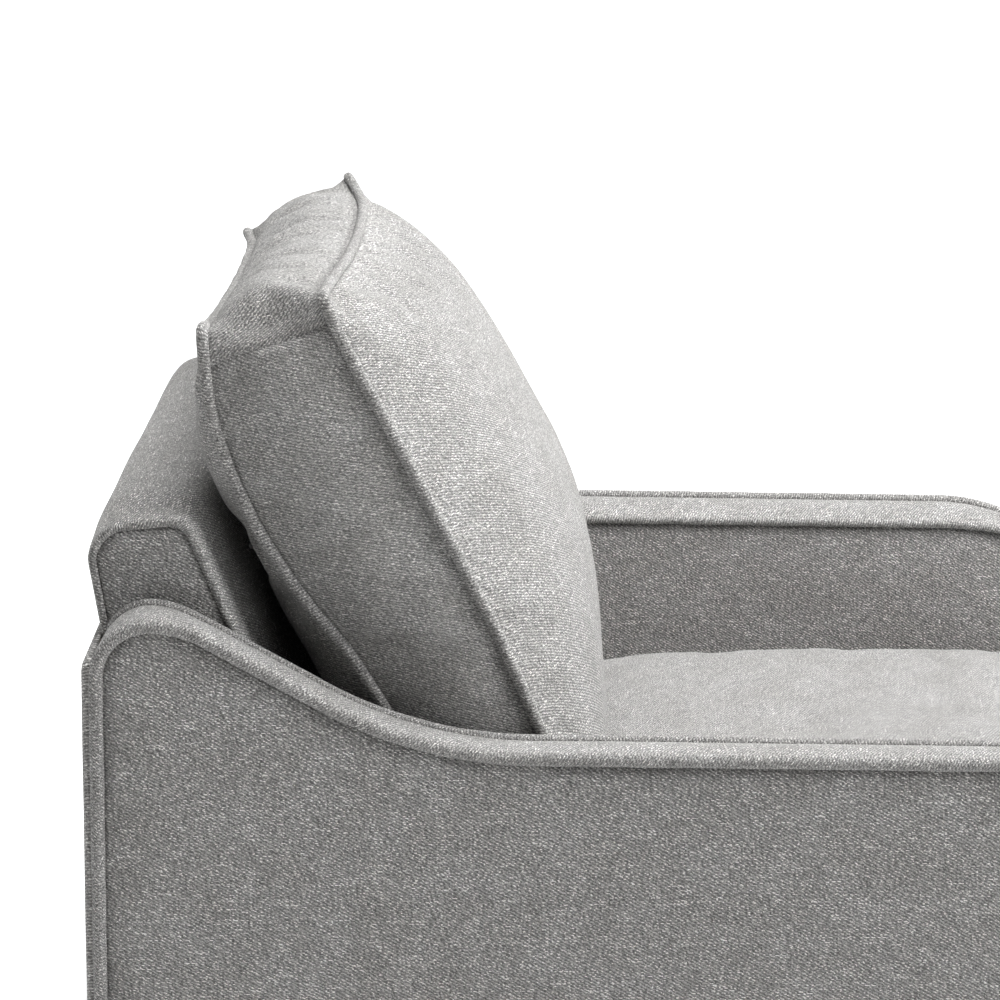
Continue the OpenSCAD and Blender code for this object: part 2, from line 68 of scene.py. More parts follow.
# ------------------------------------------------------------------ camera
camera_data = bpy.data.cameras.new("camera")
camera_data.sensor_width = 36.0
camera_data.lens = 2582.0 / 1000.0 * 36.0
camera_data.clip_end = 200.0
camera = bpy.data.objects.new("camera", camera_data)
SCENE.collection.objects.link(camera)
PITCH, YAW = rad(16.2), rad(0.55)
look = Vector((math.cos(PITCH) * math.cos(YAW), -math.sin(YAW) * math.cos(PITCH), -math.sin(PITCH)))
camera.location = (-2.181, 0.127 + YM * 0.001, 1.345)
camera.rotation_euler = look.to_track_quat("-Z", "Y").to_euler()
SCENE.camera = camera
SCENE.view_settings.view_transform = "Standard"
SCENE.view_settings.look = "None"
SCENE.view_settings.exposure = 0.0


# ------------------------------------------------------------------ node helper
class Tree:
    """Short names for building a material's nodes."""

    def __init__(self, name):
        self.mat = bpy.data.materials.new(name)
        self.mat.use_nodes = True
        self.t = self.mat.node_tree
        self.t.nodes.clear()
        self.out = self.t.nodes.new("ShaderNodeOutputMaterial")
        self.bsdf = self.t.nodes.new("ShaderNodeBsdfPrincipled")
        self.t.links.new(self.bsdf.outputs[0], self.out.inputs[0])

    def put(self, socket, value):
        if isinstance(value, bpy.types.NodeSocket):
            self.t.links.new(value, socket)
        elif value is not None:
            socket.default_value = value

    def node(self, kind, **props):
        n = self.t.nodes.new(kind)
        for k, v in props.items():
            setattr(n, k, v)
        return n

    def m(self, op, a, b=None, c=None, clamp=False):
        n = self.node("ShaderNodeMath", operation=op, use_clamp=clamp)
        for s, v in zip(n.inputs, (a, b, c)):
            self.put(s, v)
        return n.outputs[0]

    def ramp(self, value, lo, hi, a=0.0, b=1.0, smooth=True):
        n = self.node("ShaderNodeMapRange", clamp=True)
        n.interpolation_type = "SMOOTHSTEP" if smooth else "LINEAR"
        for s, v in zip(n.inputs, (value, lo, hi, a, b)):
            self.put(s, v)
        return n.outputs[0]

    def mix(self, f, a, b, kind="MIX"):
        n = self.node("ShaderNodeMix", data_type="RGBA", blend_type=kind)
        self.put(n.inputs[0], f)
        self.put(n.inputs[6], a)
        self.put(n.inputs[7], b)
        return n.outputs[2]

    def vec(self, x, y, z=0.0):
        n = self.node("ShaderNodeCombineXYZ")
        for s, v in zip(n.inputs, (x, y, z)):
            self.put(s, v)
        return n.outputs[0]

    def noise(self, vector, scale, detail=2.0, rough=0.5, colour=False):
        n = self.node("ShaderNodeTexNoise")
        self.put(n.inputs["Vector"], vector)
        n.inputs["Scale"].default_value = scale
        n.inputs["Detail"].default_value = detail
        n.inputs["Roughness"].default_value = rough
        return n.outputs[1 if colour else 0]

    def object_co(self):
        return self.node("ShaderNodeTexCoord").outputs["Object"]

    def split(self, vector):
        n = self.node("ShaderNodeSeparateXYZ")
        self.put(n.inputs[0], vector)
        return n.outputs

    def bump(self, height, distance, strength=1.0, normal=None):
        n = self.node("ShaderNodeBump")
        n.inputs["Strength"].default_value = strength
        n.inputs["Distance"].default_value = distance
        self.put(n.inputs["Height"], height)
        if normal is not None:
            self.put(n.inputs["Normal"], normal)
        self.put(self.bsdf.inputs["Normal"], n.outputs[0])
        return n.outputs[0]

    def colour(self, value):
        self.put(self.bsdf.inputs["Base Color"], value)

    def set(self, **values):
        for k, v in values.items():
            self.bsdf.inputs[k.replace("_", " ")].default_value = v


def rgb(r, g, b):
    return (r, g, b, 1.0)


# ------------------------------------------------------------------ upholstery cloth
def cloth(name, bias=False, painted_light_tone=1.0, slubs=1.0, seed=0.0):
    """A 2/2 twill: light slubby weft along u over a darker warp along v. UVs are in metres."""
    t = Tree(name)
    uv = t.node("ShaderNodeUVMap", uv_map="weave").outputs[0]
    if bias:
        turn = t.node("ShaderNodeMapping")
        turn.inputs["Rotation"].default_value = (0, 0, rad(45))
        t.put(turn.inputs["Vector"], uv)
        uv = turn.outputs[0]
    # slow wander of the threads
    wander = t.noise(uv, 26.0, 2.0, colour=True)
    off = t.node("ShaderNodeVectorMath", operation="MULTIPLY_ADD")
    t.put(off.inputs[0], wander)
    off.inputs[1].default_value = (0.0022, 0.0022, 0.0)
    t.put(off.inputs[2], uv)
    s = t.split(off.outputs[0])
    U = t.m("DIVIDE", s[0], 0.00118)
    V = t.m("DIVIDE", s[1], 0.00070)
    row = t.m("FLOOR", V)
    fv = t.m("SUBTRACT", V, row)
    fu = t.m("FRACT", U)
    # each pick steps one end along: the twill's wale
    shift = t.noise(t.vec(t.m("MULTIPLY", U, 0.33), t.m("MULTIPLY", row, 0.37), 41.0 + seed), 1.0, 1.0, 0.5)
    T = t.m("FRACT", t.m("MULTIPLY_ADD", shift, 1.5, t.m("MULTIPLY", t.m("ADD", U, row), 0.25)))
    away = t.m("ABSOLUTE", t.m("SUBTRACT", T, 0.5))           # 0 under, 0.5 over
    over = t.ramp(away, 0.17, 0.33)
    # threads: round across, and per-thread changes of thickness
    hv = t.m("SUBTRACT", 1.0, t.m("POWER", t.m("ABSOLUTE", t.m("MULTIPLY_ADD", fv, 2.0, -1.0)), 2.0))
    hu = t.m("SUBTRACT", 1.0, t.m("POWER", t.m("ABSOLUTE", t.m("MULTIPLY_ADD", fu, 2.0, -1.0)), 2.0))
    yarn = t.noise(t.vec(t.m("MULTIPLY", U, 0.10), t.m("MULTIPLY", row, 0.73), 3.0 + seed), 1.0, 2.0, 0.6)
    warp_yarn = t.noise(t.vec(t.m("MULTIPLY", t.m("FLOOR", U), 0.83), t.m("MULTIPLY", V, 0.05), 9.0 + seed), 1.0, 1.0)
    slub_n = t.noise(t.vec(t.m("MULTIPLY", U, 0.050), t.m("MULTIPLY", row, 0.61), 17.0 + seed), 1.0, 1.0, 0.5)
    slub = t.ramp(slub_n, 0.60, 0.72)
    dash_n = t.noise(t.vec(t.m("MULTIPLY", U, 0.42), t.m("MULTIPLY", row, 0.67), 29.0 + seed), 1.0, 1.0, 0.5)
    dash = t.m("MULTIPLY", t.ramp(dash_n, 0.54, 0.66), 0.95)
    pit_n = t.noise(t.vec(t.m("MULTIPLY", U, 0.55), t.m("MULTIPLY", row, 0.71), 53.0 + seed), 1.0, 1.0, 0.5)
    pit = t.ramp(pit_n, 0.50, 0.64, 1.0, 0.56)
    bright = t.m("MULTIPLY", t.m("MAXIMUM", slub, dash), slubs, clamp=True)
    fibre = t.noise(t.vec(t.m("MULTIPLY", U, 1.5), t.m("MULTIPLY", V, 3.0), seed), 1.0, 2.0, 0.7)
    patch = t.noise(uv, 22.0, 3.0, 0.55)
    patch_small = t.noise(uv, 95.0, 2.0, 0.6)
    weft_h = t.m("MULTIPLY", over, t.m("MULTIPLY_ADD", hv, 0.55, 0.45))
    warp_h = t.m("MULTIPLY", t.m("SUBTRACT", 1.0, over), t.m("MULTIPLY", hu, 0.45))
    height = t.m("ADD", t.m("ADD", weft_h, warp_h), t.m("ADD", t.m("MULTIPLY", bright, 0.4), t.m("MULTIPLY", fibre, 0.2)))
    # colours
    weft_v = t.m("MULTIPLY_ADD", t.ramp(yarn, 0.25, 0.75), 0.22, 0.24)
    weft_v = t.m("MULTIPLY_ADD", bright, 0.50, weft_v)
    warp_v = t.m("MULTIPLY_ADD", t.ramp(warp_yarn, 0.3, 0.7), 0.12, 0.14)
    warp_v = t.m("MULTIPLY_ADD", bright, 0.10, warp_v)
    value = t.m("ADD", t.m("MULTIPLY", over, weft_v), t.m("MULTIPLY", t.m("SUBTRACT", 1.0, over), warp_v))
    # painted shade: the grooves between the raised threads are darkened in the colour, standing in for the shade that
    # falls between the threads
    painted_groove_shade = t.m("MULTIPLY_ADD", t.m("MAXIMUM", weft_h, warp_h), 0.55, 0.62)
    value = t.m("MULTIPLY", t.m("MULTIPLY", value, painted_groove_shade), pit)
    value = t.m("MULTIPLY", value, t.m("MULTIPLY_ADD", fibre, 0.8, 0.60))
    value = t.m("MULTIPLY", value, t.m("MULTIPLY_ADD", patch, 0.44, 0.78))
    value = t.m("MULTIPLY", value, t.m("MULTIPLY_ADD", patch_small, 0.34, 0.83))
    # painted light and shade: the tone factor makes this piece's copy of the cloth brighter or darker
    value = t.m("MULTIPLY", value, 1.38 * painted_light_tone)
    warm = t.mix(t.ramp(patch, 0.3, 0.7), rgb(1.0, 0.978, 0.945), rgb(1.0, 0.985, 0.965))
    grey = t.node("ShaderNodeCombineColor")
    for k in range(3):
        t.put(grey.inputs[k], value)
    t.colour(t.mix(1.0, grey.outputs[0], warm, "MULTIPLY"))
    t.put(t.bsdf.inputs["Roughness"], t.m("MULTIPLY_ADD", bright, -0.14, 0.90))
    t.set(Sheen_Weight=0.22, Sheen_Roughness=0.45, Specular_IOR_Level=0.25, IOR=1.5)
    t.bump(height, 0.00095, 1.0)
    return t.mat


# The seat, back, band and welt cloths are copies of one twill made brighter or darker by their tone factor: painted
# light and shade.
CLOTH = cloth("grey_twill")
CLOTH_WELT = cloth("grey_twill_bias", bias=True, painted_light_tone=0.96, slubs=0.8, seed=4.0)
CLOTH_BAND = cloth("grey_twill_band", painted_light_tone=0.98, slubs=0.8, seed=8.0)
CLOTH_SEAT = cloth("grey_twill_seat", painted_light_tone=1.04, slubs=0.4, seed=12.0)
CLOTH_BACK = cloth("grey_twill_back", painted_light_tone=1.02, slubs=0.7, seed=16.0)


# ------------------------------------------------------------------ other materials
def plain_wood(name, light, dark, rings=38.0, rough=0.62, stretch=(1.0, 9.0, 9.0), coat=0.0):
    t = Tree(name)
    co = t.object_co()
    mp = t.node("ShaderNodeMapping")
    mp.inputs["Scale"].default_value = stretch
    t.put(mp.inputs["Vector"], co)
    warp = t.noise(mp.outputs[0], 3.0, 3.0, 0.55)
    ring = t.m("SINE", t.m("MULTIPLY", warp, rings))
    fine = t.noise(mp.outputs[0], 60.0, 3.0, 0.65)
    f = t.m("ADD", t.m("MULTIPLY_ADD", ring, 0.22, 0.38), t.m("MULTIPLY", fine, 0.3), clamp=True)
    t.colour(t.mix(f, light, dark))
    t.put(t.bsdf.inputs["Roughness"], t.m("MULTIPLY_ADD", fine, 0.2, rough - 0.1))
    t.set(Coat_Weight=coat, Coat_Roughness=0.25)
    t.bump(fine, 0.0003, 0.6)
    return t.mat


def plywood():
    t = Tree("birch_plywood")
    co = t.object_co()
    s = t.split(co)
    ply = t.m("SINE", t.m("MULTIPLY", s[0], 2 * math.pi / 0.0026))      # plies seen on the cut edges
    geo = t.node("ShaderNodeNewGeometry")
    n = t.split(geo.outputs["Normal"])
    edge = t.ramp(t.m("ABSOLUTE", n[0]), 0.5, 0.8, 1.0, 0.0)
    mp = t.node("ShaderNodeMapping")
    mp.inputs["Scale"].default_value = (8.0, 1.2, 9.0)
    t.put(mp.inputs["Vector"], co)
    grain = t.noise(mp.outputs[0], 22.0, 4.0, 0.6)
    face = t.mix(t.ramp(grain, 0.35, 0.65), rgb(0.62, 0.46, 0.28), rgb(0.50, 0.34, 0.19))
    cut = t.mix(t.ramp(ply, -0.2, 0.2), rgb(0.33, 0.21, 0.11), rgb(0.60, 0.44, 0.27))
    t.colour(t.mix(edge, face, cut))
    t.put(t.bsdf.inputs["Roughness"], t.m("MULTIPLY_ADD", grain, 0.2, 0.6))
    t.bump(grain, 0.0003, 0.5)
    return t.mat


def steel():
    t = Tree("zinc_plated_steel")
    co = t.object_co()
    n = t.noise(co, 900.0, 2.0, 0.6)
    cloud = t.noise(co, 60.0, 3.0, 0.6)
    t.colour(t.mix(cloud, rgb(0.50, 0.51, 0.53), rgb(0.66, 0.66, 0.64)))
    t.put(t.bsdf.inputs["Roughness"], t.m("MULTIPLY_ADD", n, 0.22, 0.24))
    t.set(Metallic=1.0)
    t.bump(n, 0.00005, 0.5)
    return t.mat


def nylon():
    t = Tree("glide_nylon")
    n = t.noise(t.object_co(), 700.0, 2.0)
    t.colour(t.mix(n, rgb(0.60, 0.57, 0.50), rgb(0.68, 0.65, 0.58)))
    t.put(t.bsdf.inputs["Roughness"], t.m("MULTIPLY_ADD", n, 0.2, 0.42))
    t.bump(n, 0.00005, 0.6)
    return t.mat


def lining(name="black_lining"):
    """Spun-bonded cloth: pressed dots in a fine felt."""
    t = Tree(name)
    co = t.object_co()
    v = t.node("ShaderNodeTexVoronoi")
    t.put(v.inputs["Vector"], co)
    v.inputs["Scale"].default_value = 520.0
    dots = t.ramp(v.outputs["Distance"], 0.15, 0.4)
    felt = t.noise(co, 900.0, 3.0, 0.7)
    t.colour(t.mix(t.m("MULTIPLY", dots, felt), rgb(0.012, 0.012, 0.013), rgb(0.050, 0.050, 0.052)))
    t.set(Roughness=0.82, Sheen_Weight=0.15, Sheen_Roughness=0.5)
    t.bump(t.m("MULTIPLY_ADD", felt, 0.4, dots), 0.0002, 0.8)
    return t.mat


def zip_tape():
    t = Tree("zip_tape")
    s = t.split(t.object_co())
    rib = t.m("SINE", t.m("MULTIPLY", s[0], 2 * math.pi / 0.0011))
    rib2 = t.m("SINE", t.m("MULTIPLY", s[2], 2 * math.pi / 0.0008))
    f = t.m("MULTIPLY_ADD", t.m("MULTIPLY", rib, rib2), 0.5, 0.5)
    t.colour(t.mix(f, rgb(0.014, 0.014, 0.015), rgb(0.052, 0.052, 0.054)))
    t.set(Roughness=0.62)
    t.bump(f, 0.0002, 0.8)
    return t.mat


def foam(name, light, dark, scale=420.0):
    t = Tree(name)
    co = t.object_co()
    v = t.node("ShaderNodeTexVoronoi")
    t.put(v.inputs["Vector"], co)
    v.inputs["Scale"].default_value = scale
    cell = t.ramp(v.outputs["Distance"], 0.05, 0.55)
    big = t.noise(co, 12.0, 3.0)
    t.colour(t.mix(t.m("MULTIPLY_ADD", cell, 0.7, t.m("MULTIPLY", big, 0.3)), dark, light))
    t.set(Roughness=0.95)
    t.bump(cell, 0.0006, 0.8)
    return t.mat


def hardboard():
    t = Tree("hardboard")
    co = t.object_co()
    n = t.noise(co, 320.0, 4.0, 0.7)
    t.colour(t.mix(n, rgb(0.20, 0.13, 0.075), rgb(0.40, 0.28, 0.17)))
    t.set(Roughness=0.7)
    t.bump(n, 0.0002, 0.6)
    return t.mat


# Near-black for the zip sliders and pulls in place of their zinc plating: painted shade, so that no bright steel glint
# shows at the zip.
def zip_metal_shade_material():
    t = Tree("zip_metal_painted_shade")
    n = t.noise(t.object_co(), 800.0, 2.0, 0.6)
    t.colour(t.mix(n, rgb(0.020, 0.020, 0.022), rgb(0.050, 0.050, 0.052)))
    t.put(t.bsdf.inputs["Roughness"], t.m("MULTIPLY_ADD", n, 0.25, 0.30))
    t.bump(n, 0.00005, 0.5)
    return t.mat


ZIP_METAL_SHADE = zip_metal_shade_material()
MATERIAL = {
    "plywood": plywood(),
    "frame_wood": plain_wood("planed_softwood", rgb(0.66, 0.48, 0.28), rgb(0.46, 0.29, 0.14)),
    "leg_wood": plain_wood("dark_leg_wood", rgb(0.060, 0.028, 0.015), rgb(0.022, 0.010, 0.006), rings=60.0,
                           rough=0.42, stretch=(12.0, 12.0, 1.6), coat=0.35),
    "steel": steel(),
    "glide_nylon": nylon(),
    "lining_black": lining(),
    "zip_black": zip_tape(),
    "foam": foam("open_cell_foam", rgb(0.80, 0.70, 0.42), rgb(0.46, 0.38, 0.20)),
    "wadding": foam("polyester_wadding", rgb(0.84, 0.84, 0.82), rgb(0.60, 0.60, 0.60), 260.0),
    "board": hardboard(),
    "grey_cloth": CLOTH,
}


# ------------------------------------------------------------------ mesh helpers
def new_object(name, me, mat, body="frame"):
    ob = bpy.data.objects.new(name, me)
    SCENE.collection.objects.link(ob)
    me.materials.clear()
    me.materials.append(mat)
    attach(ob, body)
    return ob


def mesh(name, verts, faces, uv, mirror=False):
    """verts in mm before the shift; uv in mm, one pair per vertex or per face corner. mirror makes the -x one."""
    v = np.array(verts, float).reshape(-1, 3).copy()
    if mirror:
        v[:, 0] *= -1
        faces = [tuple(reversed(f)) for f in faces]
    v[:, 1] += YM
    me = bpy.data.meshes.new(name)
    me.from_pydata([tuple(p) for p in v * 0.001], [], [tuple(int(i) for i in f) for f in faces])
    layer = me.uv_layers.new(name="weave")
    uv = np.array(uv, float).reshape(-1, 2)
    idx = np.empty(len(me.loops), np.int32)
    me.loops.foreach_get("vertex_index", idx)
    data = uv[idx] if len(uv) == len(v) else uv
    layer.data.foreach_set("uv", (data * 0.001).astype(np.float32).ravel())
    me.polygons.foreach_set("use_smooth", np.ones(len(me.polygons), bool))
    me.update()
    return me


def thicken(me, t):
    """Gives an open sheet a back, t mm inside its surface, so that it is a closed shell."""
    ob = bpy.data.objects.new("tmp", me)
    SCENE.collection.objects.link(ob)
    m = ob.modifiers.new("solid", "SOLIDIFY")
    m.thickness = t * 0.001
    m.offset = -1.0
    m.use_even_offset = False
    m.use_rim = True
    out = evaluated(ob, me.name)
    bpy.data.objects.remove(ob)
    return out


def evaluated(ob, name):
    bpy.context.view_layer.update()
    dg = bpy.context.evaluated_depsgraph_get()
    me = bpy.data.meshes.new_from_object(ob.evaluated_get(dg), preserve_all_data_layers=True, depsgraph=dg)
    me.name = name
    return me


def subdivided(me, levels):
    ob = bpy.data.objects.new("tmp", me)
    SCENE.collection.objects.link(ob)
    m = ob.modifiers.new("sub", "SUBSURF")
    m.levels = levels
    m.render_levels = levels
    m.boundary_smooth = "PRESERVE_CORNERS"
    out = evaluated(ob, me.name)
    bpy.data.objects.remove(ob)
    return out


def grid_faces(nr, nc, base=0, flip=False):
    out = []
    for r in range(nr - 1):
        for c in range(nc - 1):
            a, b = base + r * nc + c, base + r * nc + c + 1
            q = (a, b, b + nc, a + nc)
            out.append(tuple(reversed(q)) if flip else q)
    return out


def resample(path, step):
    path = np.array(path, float)
    d = np.r_[0, np.cumsum(np.linalg.norm(np.diff(path, axis=0), axis=1))]
    n = max(2, int(round(d[-1] / step)) + 1)
    s = np.linspace(0, d[-1], n)
    return np.stack([np.interp(s, d, path[:, k]) for k in range(path.shape[1])], 1), s


def ripple(p, scale, seed=0.0):
    return noise.noise(Vector((p[0] / scale + seed, p[1] / scale, p[2] / scale)))


def tube(path, r, closed=False, sides=12, step=3.6, side=(1, 0, 0), wob=0.25, seed=0.0):
    """A cord-filled welt along a path, with the small unevenness of a sewn one. Returns verts, faces, per-corner uv."""
    path = np.array(path, float)
    if closed:
        path = np.vstack([path, path[:1]])
    pts, s = resample(path, step)
    if closed:
        pts = pts[:-1]
        s_end = s[-1]
        s = s[:-1]
    n = len(pts)
    if closed:
        tan = np.roll(pts, -1, 0) - np.roll(pts, 1, 0)
    else:
        tan = np.gradient(pts, axis=0)
    tan /= np.linalg.norm(tan, axis=1)[:, None]
    side = np.array(side, float)
    a = np.cross(tan, side)
    a /= np.linalg.norm(a, axis=1)[:, None]
    b = np.cross(tan, a)
    verts = []
    for i in range(n):
        rr = r * (1 + 0.045 * ripple(pts[i], 14.0, seed) + 0.02 * ripple(pts[i], 5.0, seed + 3))
        w = wob * ripple(pts[i], 30.0, seed + 7)
        w2 = wob * ripple(pts[i], 30.0, seed + 11)
        for k in range(sides):
            h = 2 * math.pi * k / sides
            verts.append(pts[i] + a[i] * (rr * math.cos(h) + w) + b[i] * (rr * math.sin(h) + w2))
    faces, uv = [], []
    c = 2 * math.pi * r
    for i in range(n if closed else n - 1):
        j = (i + 1) % n
        si, sj = s[i], (s[j] if j else s_end) if closed else s[j]
        for k in range(sides):
            l = (k + 1) % sides
            faces.append((i * sides + k, j * sides + k, j * sides + l, i * sides + l))
            vk, vl = c * k / sides, c * (k + 1) / sides
            uv += [(si, vk), (sj, vk), (sj, vl), (si, vl)]
    if not closed:
        for i, order in ((0, 1), (n - 1, -1)):
            ring = [i * sides + k for k in range(sides)][::order]
            faces.append(tuple(ring))
            uv += [(s[i] + r * math.cos(2 * math.pi * k / sides), r * math.sin(2 * math.pi * k / sides)) for k in range(sides)]
    return verts, faces, uv


def fix_normals(me):
    bm = bmesh.new()
    bm.from_mesh(me)
    bmesh.ops.recalc_face_normals(bm, faces=bm.faces)
    bm.to_mesh(me)
    bm.free()
    me.update()
    return me


def inside_mesh(outline, step):
    """Triangles over a flat closed outline, with a regular field of points inside."""
    outline = np.array(outline, float)
    lo, hi = outline.min(0), outline.max(0)
    pts = [tuple(p) for p in outline]
    n = len(pts)
    seg_a, seg_b = outline, np.roll(outline, -1, 0)
    xs = np.arange(lo[0] + step * 0.5, hi[0], step)
    ys = np.arange(lo[1] + step * 0.5, hi[1], step * 0.87)
    grid = []
    for r, y in enumerate(ys):
        for x in xs:
            grid.append((x + (step * 0.5 if r % 2 else 0.0), y))
    grid = np.array(grid)
    # even-odd test and distance to the outline
    x, y = grid[:, 0][:, None], grid[:, 1][:, None]
    ya, yb = seg_a[:, 1][None], seg_b[:, 1][None]
    xa, xb = seg_a[:, 0][None], seg_b[:, 0][None]
    cross = ((ya > y) != (yb > y)) & (x < (xb - xa) * (y - ya) / np.where(yb == ya, 1e-9, yb - ya) + xa)
    inside = cross.sum(1) % 2 == 1
    keep = inside & (distance(grid, outline, True) > step * 0.45)
    pts += [tuple(p) for p in grid[keep]]
    res = geometry.delaunay_2d_cdt([Vector(p) for p in pts], [], [list(range(n))], 1, 1e-4)
    return np.array([tuple(v) for v in res[0]]), [tuple(f) for f in res[2]]


def distance(points, line, closed=False):
    line = np.array(line, float)
    a = line if closed else line[:-1]
    b = np.roll(line, -1, 0) if closed else line[1:]
    d = b - a
    L = (d * d).sum(1)
    out = np.full(len(points), 1e9)
    for k in range(0, len(points), 4000):
        p = points[k:k + 4000][:, None, :]
        t = np.clip(((p - a) * d).sum(2) / np.where(L == 0, 1e-9, L), 0, 1)
        q = a + t[:, :, None] * d
        out[k:k + 4000] = np.sqrt(((p - q) ** 2).sum(2)).min(1)
    return out


# ------------------------------------------------------------------ the arm's outline, mm
def nrm(h):
    return np.array([-math.sin(rad(h)), math.cos(rad(h))])


def fwd(h):
    return np.array([-math.cos(rad(h)), -math.sin(rad(h))])


XO = 364.0
C_REAR = np.array([371.0, 678.0])
C_CREST = np.array([371.0, 635.0])
P_CREST = C_CREST + 86 * nrm(30.5)
P_SWEEP = P_CREST + 99 * fwd(30.5)
C_SWEEP = P_SWEEP + 320 * nrm(30.5)
P_FLAT = C_SWEEP - 320 * nrm(1.0)
P_FRONT = P_FLAT + (P_FLAT[0] + 343.6) / math.cos(rad(1.0)) * fwd(1.0)
C_BROW = P_FRONT - 200 * nrm(1.0)
P_BROW = C_BROW + 200 * nrm(22)
C_NOSE = P_BROW - 55 * nrm(22)
FRONT_Y = C_NOSE[0] - 55


def rear_y(z, d=0.0):
    return 371 + (43 - d) / math.cos(rad(1.6)) + (678 - z) * math.tan(rad(1.6))


def arm_line(d, zb=140.0, fine=6.0):
    """The arm's outline d inside its surface, from the rear foot over the top to the front foot. The count of points doesn't depend on d."""
    key = []

    def straight(a, b, n):
        for i in range(1, n):
            key.append(a + (b - a) * i / n)

    def arc(c, r, h0, h1, sign=1, n=12):
        for h in np.linspace(h0, h1, n):
            key.append(c + sign * r * nrm(h))

    start = np.array([rear_y(zb, d), zb])
    key.append(start)
    first = C_REAR + (43 - d) * nrm(-88.4)
    straight(start, first, int(540 / fine))
    arc(C_REAR, 43 - d, -88.4, 0, n=15)
    arc(C_CREST, 86 - d, 4, 30.5, n=10)
    a, b = P_CREST - d * nrm(30.5), P_SWEEP - d * nrm(30.5)
    straight(a, b, int(95 / fine))
    arc(C_SWEEP, 320 + d, 30.5, 1.0, -1, n=26)
    a, b = P_FLAT - d * nrm(1.0), P_FRONT - d * nrm(1.0)
    straight(a, b, int(430 / fine))
    arc(C_BROW, 200 - d, 1.0, 20, n=12)
    arc(C_NOSE, 55 - d, 26, 90, n=14)
    a, b = C_NOSE + (55 - d) * nrm(90), np.array([FRONT_Y + d, zb])
    straight(a, b, int(420 / fine))
    key.append(b)
    return np.array(key)


def arm_edge(d, drop):
    """The outline with drop more let in over the top only, fading out down the rear and down the front."""
    a, b = arm_line(d), arm_line(d + drop)
    i = np.arange(len(a))
    up = np.clip((i - 98) / 16.0, 0, 1)
    down = np.clip((246 - i) / 20.0, 0, 1)
    w = ((up * up * (3 - 2 * up)) * (down * down * (3 - 2 * down)))[:, None]
    return a * (1 - w) + b * w


def deck_point(x, y, z):
    c, s = math.cos(rad(2.5)), math.sin(rad(2.5))
    return np.array([x, -450 + y * c + z * s, 350 - y * s + z * c])


def cushion_point(x, y, z):
    c, s = math.cos(rad(25)), math.sin(rad(25))
    return np.array([x, 17 + y * c + z * s, 471 - y * s + z * c])


def deck_z(y):
    return 350 - (y + 450) * math.tan(rad(2.5))


